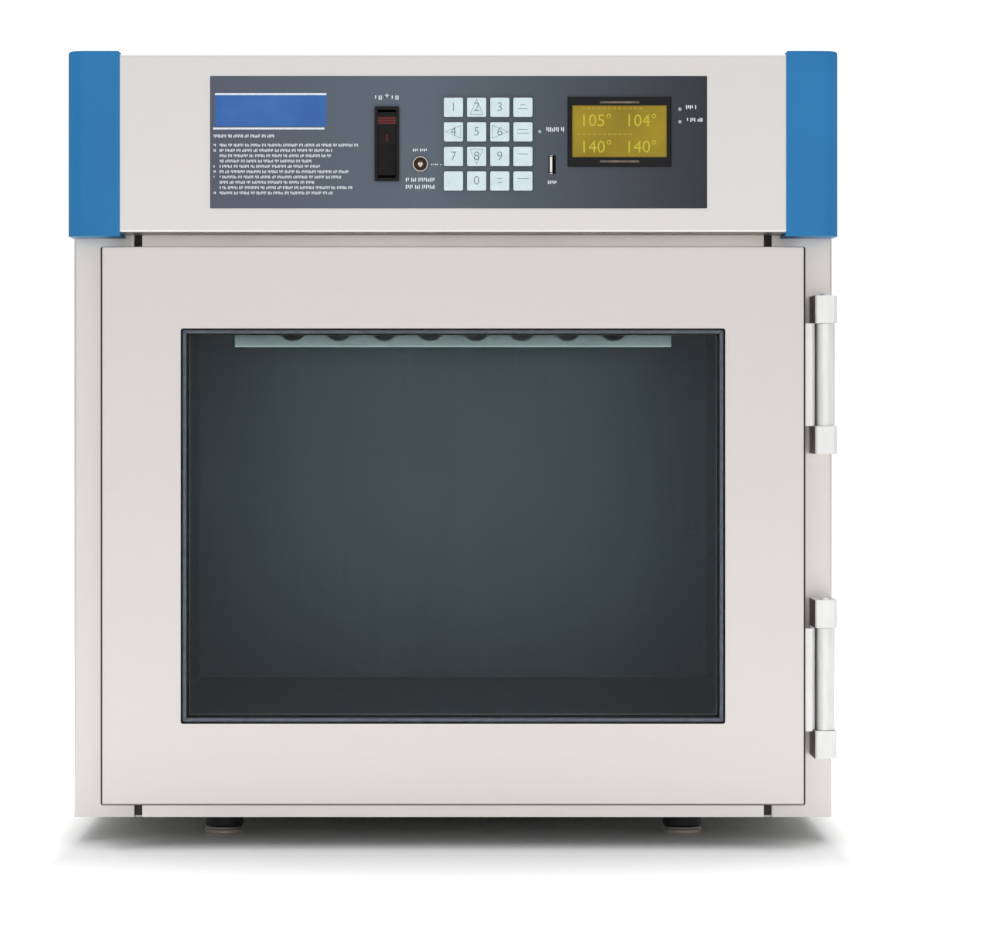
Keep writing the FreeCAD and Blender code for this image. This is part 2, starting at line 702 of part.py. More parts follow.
def foot_places():
    """The four feet: their names and where they stand."""
    front = frame_y + size.foot_setback
    rear = back_y - size.foot_rear_inset
    for end, y in (("front", front), ("rear", rear)):
        for hand, side in (("left", -1), ("right", 1)):
            yield f"levelling_foot_{end}_{hand}", side * (half_width - size.foot_side_inset), y


def make_base_pan():
    """The floor of the body: a tray, open at the front, with a weld nut for each foot."""
    body = new_body("base_pan")
    floor = base_z + size.pan_gauge
    rim = base_z + size.pan_height
    add(body, "tray_block", "z", base_z, rim, [rectangle(-wall_x, pan_front_y, wall_x, pan_back_y)])
    wall = size.pan_gauge
    cut(body, "tray_hollow", "z", floor, rim,
        [rectangle(-wall_x + wall, pan_front_y, wall_x - wall, pan_back_y - wall)])
    corners = [(side * wall_x, y) for side in (-1, 1) for y in (pan_front_y, pan_back_y)]
    bend(body, "upright_corners", "z", corners, size.bend_radius - size.pan_fit)
    places = [(x, y) for _, x, y in foot_places()]
    add(body, "weld_nuts", "z", base_z, floor + size.nut_height,
        [Circle(x, y, size.nut_width) for x, y in places])
    bore = size.stud_diameter + 2 * size.stud_fit
    cut(body, "stud_bores", "z", base_z, floor + size.nut_height,
        [Circle(x, y, bore) for x, y in places])


def make_foot(label, x, y):
    """A levelling foot: polished glide, moulded pad and threaded stud, turned in one."""
    body = new_body(label)
    radius = size.foot_diameter / 2
    stud = size.stud_diameter / 2
    edge = size.foot_edge
    top = size.foot_height - size.foot_clearance
    shoulder = top - 2 * edge
    profile = [
        (0, 0), (radius - edge, 0), (radius, edge), (radius, size.glide_height - edge),
        (radius - edge, size.glide_height), (radius - edge, size.glide_height + edge),
        (radius, size.glide_height + 2 * edge), (radius, shoulder - edge), (radius - edge, shoulder),
        (radius / 2, shoulder), (radius / 2, top), (stud, top),
        (stud, top + size.stud_length - edge), (stud - edge, top + size.stud_length),
        (0, top + size.stud_length),
    ]
    turn(body, "turned_foot", profile)
    place_at(body, x, y)


def make_back_panel():
    """The flat sheet behind the body, screwed to the rear flanges of the side panels."""
    body = new_body("back_panel")
    add(body, "sheet", "y", rear_inner_y, back_y, [rectangle(-half_width, base_z, half_width, body_top)])
    cut(body, "screw_holes", "y", rear_inner_y, back_y,
        [hole_for(place, size.screw_diameter) for place in back_screws()])


def make_chamber_liner():
    """The polished chamber with rounded corners and the front flange that closes the frame."""
    body = new_body("chamber_liner")
    gauge = size.liner_gauge
    add(body, "front_flange", "y", frame_y, frame_y + gauge,
        [rectangle(-flange_x, base_z, flange_x, body_top)])
    add(body, "chamber_block", "y", frame_y, liner_back,
        [rectangle(-liner_x, liner_bottom, liner_x, liner_top)])
    cut(body, "chamber", "y", frame_y, chamber_back,
        [rectangle(-chamber_x, chamber_floor, chamber_x, chamber_top)])
    inner = [(side * chamber_x, z) for side in (-1, 1) for z in (chamber_floor, chamber_top)]
    bend(body, "inner_coves", "y", inner, size.chamber_cove)
    outer = [(side * liner_x, z) for side in (-1, 1) for z in (liner_bottom, liner_top)]
    bend(body, "outer_coves", "y", outer, size.chamber_cove + gauge)
    holes = [Circle(0, blower_y, size.shaft_hole), hole_for(probe_place(), size.probe_diameter)]
    holes += [hole_for(place, size.heater_tube) for place in heater_ends()]
    cut(body, "ceiling_holes", "z", chamber_top, liner_top, holes)


def make_breaker_strips():
    """Plastic strips that part the warm liner flange from the cool stiles, one each side."""
    body = new_body("breaker_strips")
    back = frame_y + size.breaker_depth
    outlines = []
    for side in (-1, 1):
        rib_outer = side * (stile_x - size.breaker_fit)
        rib_inner = side * (flange_x + size.breaker_fit)
        foot = side * (flange_x - size.breaker_foot)
        outlines.append([
            (rib_outer, frame_y), (rib_outer, back), (foot, back),
            (foot, frame_y + size.liner_gauge), (rib_inner, frame_y + size.liner_gauge),
            (rib_inner, frame_y),
        ])
    add(body, "strips", "z", base_z + size.pan_gauge, body_top, outlines)


def make_insulation():
    """Mineral wool batts between the chamber and the outer shell."""
    low = base_z + size.pan_height
    front = frame_y + size.stile_lip
    sides = [
        solid_box(f"batt_{hand}", ends, (front, liner_back), (low, body_top))
        for hand, ends in (("left", (-wall_x, -liner_x)), ("right", (liner_x, wall_x)))
    ]
    rear_end = back_y - size.screw_length - size.batt_slack
    rear = solid_box("batt_rear", (-wall_x, wall_x), (liner_back, rear_end), (low, body_top))
    under = solid_box("batt_under", (-liner_x, liner_x), (front, liner_back), (low, liner_bottom))
    slab = solid_box("batt_over_slab", (-liner_x, liner_x), (front, liner_back), (liner_top, body_top))
    plugs = [
        ceiling_plug("neck_plug", (0, blower_y), size.motor_neck),
        ceiling_plug("probe_plug", probe_place(), size.probe_head),
    ]
    for number, place in enumerate(heater_ends()):
        plugs.append(ceiling_plug(f"terminal_plug_{number}", place, size.heater_tube))
    cluster = doc.addObject("Part::MultiFuse", "ceiling_plugs")
    cluster.Shapes = plugs
    over = doc.addObject("Part::Cut", "batt_over")
    over.Base = slab
    over.Tool = cluster
    group("insulation_batts", sides + [rear, under, over])


def ceiling_plug(name, place, diameter):
    """The space that something round takes on its way through the batt over the chamber."""
    plug = doc.addObject("Part::Cylinder", name)
    plug.setExpression("Radius", (diameter / 2 + size.batt_slack).text)
    plug.setExpression("Height", (body_top - liner_top).text)
    place_at(plug, *place, liner_top)
    return plug


# ---------------------------------------------------------------- warm air

def make_ceiling_duct():
    """The folded duct under the ceiling: warm air leaves by the round holes in its front."""
    body = new_body("ceiling_duct")
    gauge = size.liner_gauge
    add(body, "duct_block", "z", duct_bottom, chamber_top,
        [rectangle(-duct_x, duct_front, duct_x, duct_back)])
    add(body, "front_lip", "y", duct_front, duct_front + 2 * gauge,
        [rectangle(-duct_x, duct_bottom - size.duct_lip, duct_x, duct_bottom + gauge)])
    cut(body, "duct_hollow", "z", duct_bottom + gauge, chamber_top,
        [rectangle(-duct_x + gauge, duct_front + gauge, duct_x - gauge, duct_back - gauge)])
    reach = duct_x + size.duct_flange
    for hand, side in (("left", -1), ("right", 1)):
        add(body, f"flange_{hand}", "z", chamber_top - gauge, chamber_top,
            [rectangle(side * (duct_x - gauge), duct_front, side * reach, duct_back)])
    row = (COUNTS["vents"] - 1) * size.vent_pitch
    vent_z = duct_bottom - size.duct_lip + size.vent_height
    hole = cut(body, "first_vent", "y", duct_front, duct_front + gauge,
               [Circle(-row / 2, vent_z, size.vent_diameter)])
    repeat(body, "vent_row", hole, "X_Axis", row, COUNTS["vents"])
    holes = []
    for lap in range(COUNTS["intake_rings"]):
        reach = lap * size.intake_ring
        count = max(6 * lap, 1)  # six more holes in each ring keep them evenly spaced
        for index in range(count):
            angle = 2 * math.pi * index / count
            holes.append(Circle(reach * math.cos(angle), blower_y + reach * math.sin(angle),
                                size.intake_diameter))
    cut(body, "intake", "z", duct_bottom, duct_bottom + gauge, holes)
    dress(body, "Fillet", "rolled_lip", 0.9 * gauge, lambda edge: runs_along(edge, "x")
          and is_near(edge, {"z": duct_bottom - size.duct_lip}))


def make_blower_wheel():
    """A centrifugal wheel: back plate, shroud ring and backward-curved blades on a shaft."""
    body = new_body("blower_wheel")
    radius = size.wheel_diameter / 2
    eye = size.wheel_eye / 2
    hub = size.hub_diameter / 2
    shaft = size.shaft_diameter / 2
    height = size.wheel_height
    sheet_top = height - size.wheel_sheet
    shaft_top = size.wheel_drop + height + hood_floor - chamber_top + size.shaft_reach
    turn(body, "plate_and_shaft", [
        (0, height / 2), (hub, height / 2), (hub, sheet_top), (radius, sheet_top),
        (radius, height), (shaft, height), (shaft, shaft_top), (0, shaft_top),
    ])
    doc.recompute()
    blade = blade_feature(body, eye, radius, sheet_top)
    ring(body, "blades", blade, COUNTS["blades"])
    shroud = new_sketch(body, "shroud_sketch", "z", as_size(0))
    draw(shroud, [Circle(0, 0, size.wheel_diameter), Circle(0, 0, size.wheel_eye)])
    plate = body.newObject("PartDesign::Pad", "shroud")
    plate.Profile = shroud
    plate.setExpression("Length", size.wheel_sheet.text)
    place_at(body, 0, blower_y, chamber_top - size.wheel_drop - height)


def blade_feature(body, eye, radius, top):
    """One blade: a curved band from the wheel's eye to its rim, let into both plates."""
    sketch = new_sketch(body, "blade_sketch", "z", size.wheel_sheet / 2)
    curve = size.blade_radius
    lean = math.radians(size.blade_lean.value)
    start = FreeCAD.Vector(eye.value + size.blade_thickness.value, 0, 0)
    middle = start + FreeCAD.Vector(math.sin(lean), -math.cos(lean), 0) * curve.value
    first = math.atan2(start.y - middle.y, start.x - middle.x)
    rim = radius.value - size.blade_thickness.value
    gap = math.hypot(middle.x, middle.y)
    swing = math.acos((curve.value ** 2 + gap ** 2 - rim ** 2) / (2 * curve.value * gap))
    last = math.atan2(-middle.y, -middle.x) - swing
    arcs = []
    for reach in (curve.value, curve.value - size.blade_thickness.value):
        circle = Part.Circle(middle, AXES["z"], reach)
        arcs.append(Part.ArcOfCircle(circle, min(first, last), max(first, last)))
    sketch.addGeometry(arcs, False)
    ends = [(arc.StartPoint, arc.EndPoint) for arc in arcs]
    sketch.addGeometry([Part.LineSegment(a, b) for a, b in zip(*ends)], False)
    for edge in range(4):
        sketch.addConstraint(Sketcher.Constraint("Block", edge))
    feature = body.newObject("PartDesign::Pad", "blade")
    feature.Profile = sketch
    feature.setExpression("Length", top.text)
    return feature


def make_blower_motor():
    """The motor on the hood floor, with a neck that reaches the chamber's ceiling."""
    body = new_body("blower_motor")
    low = liner_top - hood_floor
    neck = size.motor_neck / 2
    can = size.motor_diameter / 2
    bore = size.shaft_diameter / 2 + size.shaft_fit
    bevel = size.motor_bevel
    top = size.motor_height
    depth = size.shaft_reach + size.shaft_end
    turn(body, "can", [
        (bore, low), (neck, low), (neck, 0), (size.motor_flange / 2, 0),
        (size.motor_flange / 2, size.flange_gauge), (can, size.flange_gauge), (can, top - bevel),
        (can - bevel, top), (size.hub_diameter / 2, top), (size.hub_diameter / 2, top + bevel),
        (0, top + bevel), (0, depth), (bore, depth),
    ])
    place_at(body, 0, blower_y, hood_floor)


def heater_ends():
    """Where the two terminals of the heater pass through the chamber's ceiling."""
    reach = size.heater_ring / 2
    for side in (-1, 1):
        angle = math.pi / 2 + side * math.radians(size.heater_opening.value / 2)
        yield reach * math.cos(angle), blower_y + reach * math.sin(angle)


def make_heater():
    """A tubular heater bent round the blower wheel, hung from the ceiling by its terminals."""
    middle_z = chamber_top - size.heater_drop
    loop = doc.addObject("Part::Torus", "heater_loop")
    loop.setExpression("Radius1", (size.heater_ring / 2).text)
    loop.setExpression("Radius2", (size.heater_tube / 2).text)
    loop.setExpression("Angle3", (360 - size.heater_opening).text)
    place_at(loop, 0, blower_y, middle_z)
    loop.Placement.Rotation = FreeCAD.Rotation(AXES["z"], 90 + size.heater_opening.value / 2)
    legs = [loop]
    for number, (x, y) in enumerate(heater_ends()):
        leg = doc.addObject("Part::Cylinder", f"heater_leg_{number}")
        leg.setExpression("Radius", (size.heater_tube / 2).text)
        leg.setExpression("Height", (size.heater_drop + size.liner_gauge + size.heater_terminal).text)
        place_at(leg, x, y, middle_z)
        ball = doc.addObject("Part::Sphere", f"heater_elbow_{number}")
        ball.setExpression("Radius", (size.heater_tube / 2).text)
        place_at(ball, x, y, middle_z)
        legs += [leg, ball]
    heater = doc.addObject("Part::MultiFuse", "heater_element")
    heater.Label = "heater_element"
    heater.Shapes = legs
    pieces.append(heater)


def probe_place():
    return size.probe_x, blower_y + size.probe_y


def make_probe():
    """The temperature probe: a stem in the air stream and a head outside the ceiling."""
    body = new_body("temperature_probe")
    stem = size.probe_diameter / 2
    head = size.probe_head / 2
    low = -size.probe_length - size.liner_gauge
    turn(body, "probe", [
        (0, low), (stem - size.liner_gauge, low), (stem, low + size.liner_gauge), (stem, 0),
        (head, 0), (head, head), (stem, head), (stem, size.probe_head), (0, size.probe_head),
    ])
    x, y = probe_place()
    place_at(body, x, y, liner_top)


# ---------------------------------------------------------------- hood

def make_hood_base():
    """The hood's floor, with upstands folded up on all four sides."""
    body = new_body("hood_base")
    gauge = size.hood_gauge
    front = flange_y + size.hood_seam
    back = back_y - gauge
    rim = hood_floor + size.hood_upstand
    x = hood_inner_x - size.hood_seam
    add(body, "floor_block", "z", body_top, rim, [rectangle(-x, front, x, back)])
    cut(body, "floor_hollow", "z", hood_floor, rim,
        [rectangle(-x + gauge, front + gauge, x - gauge, back - gauge)])
    holes = [Circle(0, blower_y, size.motor_neck + 2 * size.neck_fit)]
    cut(body, "motor_hole", "z", body_top, hood_floor, holes)
    cut(body, "screw_holes", "y", back - gauge, back,
        [hole_for(place, size.screw_diameter) for place in hood_screws()])


def make_hood_cover():
    """The hood's top and sides in one folded sheet, notched for the corner caps."""
    body = new_body("hood_cover")
    front = flange_y + size.hood_seam
    path = [(half_width, body_top), (half_width, hood_top), (-half_width, hood_top), (-half_width, body_top)]
    add(body, "folded_sheet", "y", front, back_y, [fold(path, size.hood_gauge)])
    bend(body, "outer_bends", "y", path[1:-1], size.bend_radius)
    inner = [(side * hood_inner_x, hood_inner_top) for side in (-1, 1)]
    bend(body, "inner_bends", "y", inner, size.bend_radius - size.hood_gauge)
    notch = half_width + size.cap_proud - size.cap_wall
    for hand, side in (("left", -1), ("right", 1)):
        cut(body, f"cap_notch_{hand}", "z", body_top, hood_top,
            [rectangle(side * notch, front, side * (half_width + size.overrun), cap_back_y)])
    add(body, "front_return", "y", front, front + size.hood_gauge, [
        rectangle(-cap_inner_x, hood_inner_top - size.hood_return, cap_inner_x,
                  hood_top - size.hood_gauge / 2)])


def make_hood_front():
    """The control panel: a folded channel with a cut-out for each control."""
    body = new_body("hood_front")
    gauge = size.hood_gauge
    path = [
        (flange_y, body_top + size.hood_return), (flange_y, body_top), (front_y, body_top),
        (front_y, hood_top), (flange_y, hood_top), (flange_y, hood_top - size.hood_return),
    ]
    add(body, "folded_channel", "x", -cap_inner_x, cap_inner_x, [fold(path, gauge, -1)])
    bend(body, "outer_bends", "x", path[1:-1], size.bend_radius)
    inner = [(y, z) for y in (front_y + gauge, flange_y - gauge)
             for z in (body_top + gauge, hood_inner_top)]
    bend(body, "inner_bends", "x", inner, size.bend_radius - gauge)
    width, height = keypad_size()
    grow = 2 * size.cutout_fit
    cut(body, "keypad_cutout", "y", front_y, panel_back, [centred(*keypad, width + grow, height + grow)])
    cut(body, "control_cutouts", "y", front_y, panel_back, control_cutouts())


def control_cutouts():
    """The openings that all the controls but the keys pass through, with slack round each."""
    grow = 2 * size.cutout_fit
    step = 2 * size.rocker_step
    sleeve = 2 * size.sleeve_wall
    openings = [
        centred(*screen, size.screen_width + sleeve + grow, size.screen_height + sleeve + grow),
        centred(*rocker, size.rocker_width - step + grow, size.rocker_height - step + grow),
        centred(*port, size.port_width + grow, size.port_height + grow),
        Circle(*lock, size.lock_body + grow),
    ]
    openings += [Circle(*place, size.led_diameter + grow) for place in led_places()]
    return openings


def make_hood_back():
    """The hood's rear sheet, with vent slots and the opening for the power inlet."""
    body = new_body("hood_back")
    gauge = size.hood_gauge
    inner = hood_inner_x
    add(body, "sheet", "y", back_y - gauge, back_y, [rectangle(-inner, body_top, inner, hood_inner_top)])
    bend(body, "top_corners", "y", [(side * inner, hood_inner_top) for side in (-1, 1)], size.bend_radius)
    slack = 2 * size.screw_fit
    holes = [centred(*inlet, size.inlet_width + slack, size.inlet_height + slack)]
    holes += [hole_for(place, size.screw_diameter) for place in hood_screws()]
    cut(body, "inlet_and_screws", "y", back_y - gauge, back_y, holes)
    step_x = size.slot_length + size.slot_pitch
    slots = []
    for column in range(COUNTS["slot_columns"]):
        for row in range(COUNTS["slot_rows"]):
            x = size.slot_length / 2 + size.slot_side + column * step_x - half_width
            z = body_top + size.slot_rise + row * size.slot_pitch
            slots.append(centred(x, z, size.slot_length, size.slot_width))
    cut(body, "vent_slots", "y", back_y - gauge, back_y, slots)


def make_corner_cap(label, side):
    """A moulded cap over one front corner of the hood, held by tongues behind the steel."""
    body = new_body(label)
    outer_x = half_width + size.cap_proud
    outer_y = front_y - size.cap_proud
    bottom = body_top - size.cap_sole
    top = hood_top + size.cap_top
    wall = size.cap_wall
    add(body, "cap_block", "z", bottom, top,
        [rectangle(side * cap_inner_x, outer_y, side * outer_x, cap_back_y)])
    cut(body, "cap_hollow", "z", body_top, hood_top,
        [rectangle(side * (cap_inner_x - size.overrun), outer_y + wall, side * (outer_x - wall),
                   cap_back_y + size.overrun)])
    round_along(body, "hollow_corner", "z", size.cap_round - wall,
                [{"x": side * (outer_x - wall), "y": outer_y + wall}])
    round_along(body, "upright_corner", "z", size.cap_round, [{"x": side * outer_x, "y": outer_y}])
    low = body_top + size.tongue_inset
    high = hood_top - size.tongue_inset
    add(body, "front_tongue", "z", low, high, [
        rectangle(side * (cap_inner_x - size.cap_tongue), panel_back,
                  side * (cap_inner_x + size.cap_tongue / 2), panel_back + size.tongue_gauge)])
    inner = half_width - size.hood_gauge
    add(body, "side_tongue", "z", low, high, [
        rectangle(side * (inner - size.tongue_gauge), cap_back_y - size.cap_tongue / 2,
                  side * inner, cap_back_y + size.cap_tongue)])
    round_rim(body, "top_edge", size.cap_edge, {"z": top})


# ---------------------------------------------------------------- controls

def make_overlay():
    """The printed panel that lies on the hood's front, cut out for the controls."""
    body = new_body("control_overlay")
    add(body, "sheet", "y", overlay_y, front_y,
        [rectangle(overlay_left, overlay_bottom, overlay_right, overlay_top)])
    corners = [(x, z) for x in (overlay_left, overlay_right) for z in (overlay_bottom, overlay_top)]
    bend(body, "corners", "y", corners, size.overlay_corner)
    cut(body, "control_cutouts", "y", overlay_y, front_y, control_cutouts())
    well = key_well()
    cut(body, "key_openings", "y", overlay_y, front_y, [centred(x, z, well, well) for _, x, z in key_places()])
    ends = (-well / 2, well / 2)
    corners = [(x + u, z + v) for _, x, z in key_places() for u in ends for v in ends]
    bend(body, "key_corners", "y", corners, size.key_corner + size.key_fit)


def key_well():
    """The side of the square well in which a key slides."""
    return size.key_width + 2 * size.key_fit


def keypad_size():
    """The keypad's block: its wells and the rim outside them, each way."""
    edge = key_well() + 2 * size.keypad_rim
    gaps = COUNTS["keys_each_way"] - 1
    return gaps * size.key_pitch_x + edge, gaps * size.key_pitch_z + edge


def key_places():
    """The sixteen keys: their names and middles, row by row from the top left."""
    count = COUNTS["keys_each_way"]
    middle = (count - 1) / 2
    for row in range(count):
        for column in range(count):
            x = keypad[0] + (column - middle) * size.key_pitch_x
            z = keypad[1] + (middle - row) * size.key_pitch_z
            yield f"key_{row + 1}_{column + 1}", x, z


def make_keypad_body():
    """The keypad's moulded block behind the overlay, with a square well for each key."""
    body = new_body("keypad_body")
    width, height = keypad_size()
    rim = 2 * size.keypad_flange
    add(body, "block", "y", front_y, overlay_y + size.keypad_depth, [centred(*keypad, width, height)])
    add(body, "flange", "y", panel_back, panel_back + size.flange_depth,
        [centred(*keypad, width + rim, height + rim)])
    well = key_well()
    bottom = overlay_y + size.key_stem + size.key_travel + size.key_fit
    cut(body, "wells", "y", front_y, bottom, [centred(x, z, well, well) for _, x, z in key_places()])


def make_key(label, x, z):
    """A square key with a rounded face and a stem in its well."""
    body = new_body(label)
    half = size.key_width / 2
    add(body, "key", "y", -size.key_proud, size.key_stem, [rectangle(-half, -half, half, half)])
    corners = [(u, v) for u in (-half, half) for v in (-half, half)]
    bend(body, "corners", "y", corners, size.key_corner)
    round_rim(body, "face_edge", size.key_crown, {"y": -size.key_proud})
    place_at(body, x, overlay_y, z)


def make_display():
    """The display's frame with its sleeve, and the screen that sits in it."""
    bezel = new_body("display_bezel")
    sleeve = 2 * size.sleeve_wall
    back = overlay_y + size.sleeve_depth
    add(bezel, "frame", "y", bezel_y, overlay_y, [centred(*display, size.display_width, size.display_height)])
    round_rim(bezel, "frame_edge", size.bezel_edge, {"y": bezel_y}, "Chamfer")
    add(bezel, "sleeve", "y", bezel_y, back,
        [centred(*screen, size.screen_width + sleeve, size.screen_height + sleeve)])
    cut(bezel, "window", "y", bezel_y, back, [centred(*screen, size.screen_width, size.screen_height)])
    module = new_body("display_screen")
    slack = 2 * size.screen_fit
    front = bezel_y + size.screen_recess
    add(module, "module", "y", front, front + size.screen_gauge,
        [centred(*screen, size.screen_width - slack, size.screen_height - slack)])


def rocker_well():
    """Width and height of the well in the rocker's housing."""
    return size.rocker_width - 2 * size.rocker_wall, 2 * (size.paddle_half + 2 * size.rocker_step)


def make_rocker():
    """The power switch: a framed housing and the paddle that rocks on two pins in it."""
    housing = new_body("rocker_housing")
    width, height = rocker_well()
    back = overlay_y + size.rocker_depth
    step = 2 * size.rocker_step
    pin_y = bezel_y + size.paddle_recess + size.trunnion_depth
    add(housing, "frame", "y", bezel_y, overlay_y,
        [centred(*rocker, size.rocker_width, size.rocker_height)])
    add(housing, "block", "y", bezel_y, back,
        [centred(*rocker, size.rocker_width - step, size.rocker_height - step)])
    cut(housing, "well", "y", bezel_y, back - step, [centred(*rocker, width, height)])
    reach = width / 2 + size.trunnion_length + size.trunnion_fit
    cut(housing, "pin_seats", "x", rocker[0] - reach, rocker[0] + reach,
        [Circle(pin_y, rocker[1], size.trunnion_diameter + 2 * size.trunnion_fit)])
    round_along(housing, "frame_corners", "y", size.bezel_edge, [
        {"x": rocker[0] + side * size.rocker_width / 2} for side in (-1, 1)])
    paddle = new_body("rocker_paddle")
    half = size.paddle_half
    crease = -size.trunnion_depth
    half_width_paddle = width / 2 - size.paddle_fit
    hub = size.paddle_hub / 2
    profile = [
        (crease, half), (crease, 0), (crease - size.paddle_rise, -half),
        (crease + size.paddle_depth, size.rocker_step - half), (size.paddle_depth / 2, -hub),
        (size.paddle_hub, -hub), (size.paddle_hub, hub), (size.paddle_depth / 2, hub),
        (crease + size.paddle_depth, half - size.rocker_step),
    ]
    add(paddle, "paddle", "x", -half_width_paddle, half_width_paddle, [profile])
    pin = width / 2 + size.trunnion_length
    add(paddle, "pins", "x", -pin, pin, [Circle(0, 0, size.trunnion_diameter)])
    place_at(paddle, rocker[0], pin_y, rocker[1])


def make_lock():
    """The key lock: a housing held by a nut behind the panel, and the barrel that turns."""
    housing = new_body("lock_body")
    back = overlay_y + size.lock_depth
    add(housing, "ring", "y", bezel_y, overlay_y, [Circle(*lock, size.lock_ring)])
    add(housing, "housing", "y", bezel_y, back, [Circle(*lock, size.lock_body)])
    add(housing, "nut", "y", panel_back, panel_back + size.lock_nut_height, [Circle(*lock, size.lock_nut)])
    cut(housing, "bore", "y", bezel_y, back, [Circle(*lock, size.lock_bore)])
    barrel = new_body("lock_barrel")
    diameter = size.lock_bore - 2 * size.barrel_fit
    cam_y = back + size.cam_gap - bezel_y
    add(barrel, "barrel", "y", 0, cam_y, [Circle(0, 0, diameter)])
    add(barrel, "cam", "y", cam_y, cam_y + size.cam_gauge,
        [rectangle(-diameter / 2, -diameter / 2, diameter / 2, size.lock_cam)])
    cut(barrel, "keyway", "y", 0, size.keyway_depth, [centred(0, 0, size.keyway_width, size.keyway_height)])
    place_at(barrel, lock[0], bezel_y, lock[1])


def make_port():
    """The data port: a thin shell with its contact tongue, held by a flange behind the panel."""
    body = new_body("usb_port")
    front = overlay_y - size.port_proud
    back = overlay_y + size.port_depth
    wall = size.port_wall
    inside_width = size.port_width - 2 * wall
    inside_height = size.port_height - 2 * wall
    rim = 2 * size.port_flange
    add(body, "shell", "y", front, back, [centred(*port, size.port_width, size.port_height)])
    add(body, "flange", "y", panel_back, panel_back + 2 * wall,
        [centred(*port, size.port_width + rim, size.port_height + rim)])
    cut(body, "mouth", "y", front, back - 2 * wall, [centred(*port, inside_width, inside_height)])
    left = port[0] - inside_width / 2 + wall
    half = inside_height / 2 - 2 * wall
    add(body, "tongue", "y", overlay_y, back - wall,
        [rectangle(left, port[1] - half, left + size.tongue_width, port[1] + half)])


def led_places():
    return [
        (size.led_left_x, body_top + size.led_left_rise),
        (size.led_right_x, body_top + size.led_upper_rise),
        (size.led_right_x, body_top + size.led_lower_rise),
    ]


def make_indicator_leds():
    """Three domed lamps, each with its rim behind the front panel."""
    lamps = []
    radius = size.led_diameter / 2
    for number, (x, z) in enumerate(led_places()):
        parts = []
        for name, diameter, start, length in (
            ("stem", size.led_diameter, overlay_y, size.led_depth + 0),
            ("rim", size.led_flange, panel_back, size.led_diameter / 2),
        ):
            cylinder = doc.addObject("Part::Cylinder", f"led_{name}_{number}")
            cylinder.setExpression("Radius", (diameter / 2).text)
            cylinder.setExpression("Height", length.text)
            place_at(cylinder, x, start, z)
            cylinder.Placement.Rotation = FreeCAD.Rotation(AXES["x"], -90)
            parts.append(cylinder)
        dome = doc.addObject("Part::Sphere", f"led_dome_{number}")
        dome.setExpression("Radius", radius.text)
        place_at(dome, x, overlay_y, z)
        lamp = doc.addObject("Part::MultiFuse", f"led_{number}")
        lamp.Shapes = parts + [dome]
        lamps.append(lamp)
    group("indicator_leds", lamps)


def make_control_board():
    """The circuit board on pillars behind the panel, with its relay, transformer and sockets."""
    body = new_body("control_board")
    front = panel_back + size.board_gap
    back = front + size.board_gauge
    left, right = size.board_left, size.board_right
    bottom, top = body_top + size.board_rise, hood_top - size.board_head
    inset = size.standoff_inset
    corners = [(x, z) for x in (left + inset, right - inset) for z in (bottom + inset, top - inset)]
    add(body, "board", "y", front, back, [rectangle(left, bottom, right, top)])
    add(body, "pillars", "y", panel_back, back,
        [Circle(x, z, size.standoff_diameter) for x, z in corners])
    for name, from_left, from_bottom, width, height, thickness in BOARD_PARTS:
        x, z = left + from_left, bottom + from_bottom
        add(body, name, "y", back, back + thickness, [rectangle(x, z, x + width, z + height)])


def make_power_inlet():
    """The three-pin power inlet in the hood's back."""
    body = new_body("power_inlet")
    inside = back_y - size.inlet_depth
    flange = back_y + size.inlet_flange
    wall = 2 * size.inlet_wall
    add(body, "flange", "y", back_y, flange,
        [centred(*inlet, size.inlet_ear, size.inlet_height + 2 * size.inlet_rim)])
    add(body, "housing", "y", inside, flange, [centred(*inlet, size.inlet_width, size.inlet_height)])
    cut(body, "mouth", "y", inside + size.inlet_wall, flange,
        [centred(*inlet, size.inlet_width - wall, size.inlet_height - wall)])
    x, z = inlet
    pins = [
        centred(x - size.pin_spread, z - size.pin_gauge, size.pin_gauge, size.pin_width),
        centred(x, z + size.pin_gauge, size.pin_gauge, size.pin_width),
        centred(x + size.pin_spread, z - size.pin_gauge, size.pin_gauge, size.pin_width),
    ]
    add(body, "pins", "y", inside, inside + size.inlet_wall + size.pin_length, pins)


# ---------------------------------------------------------------- door

def frame_outline(x, bottom, top):
    return rectangle(-x, bottom, x, top)


def window_corners(x, bottom, top):
    return [(side * x, z) for side in (-1, 1) for z in (bottom, top)]


def make_door_skin():
    """The door's outer skin: a folded tray with the window cut out."""
    body = new_body("door_skin")
    gauge = size.door_gauge
    add(body, "tray_block", "y", front_y, skin_back, [frame_outline(door_x, door_bottom, door_top)])
    bend(body, "upright_corners", "y", window_corners(door_x, door_bottom, door_top), size.bend_radius)
    round_rim(body, "front_edge", size.door_edge, {"y": front_y})
    cut(body, "tray_hollow", "y", front_y + gauge, skin_back,
        [frame_outline(door_x - gauge, door_bottom + gauge, door_top - gauge)])
    cut(body, "window", "y", front_y, front_y + gauge, [frame_outline(window_x, window_bottom, window_top)])
    bend(body, "window_corners", "y", window_corners(window_x, window_bottom, window_top), size.window_corner)


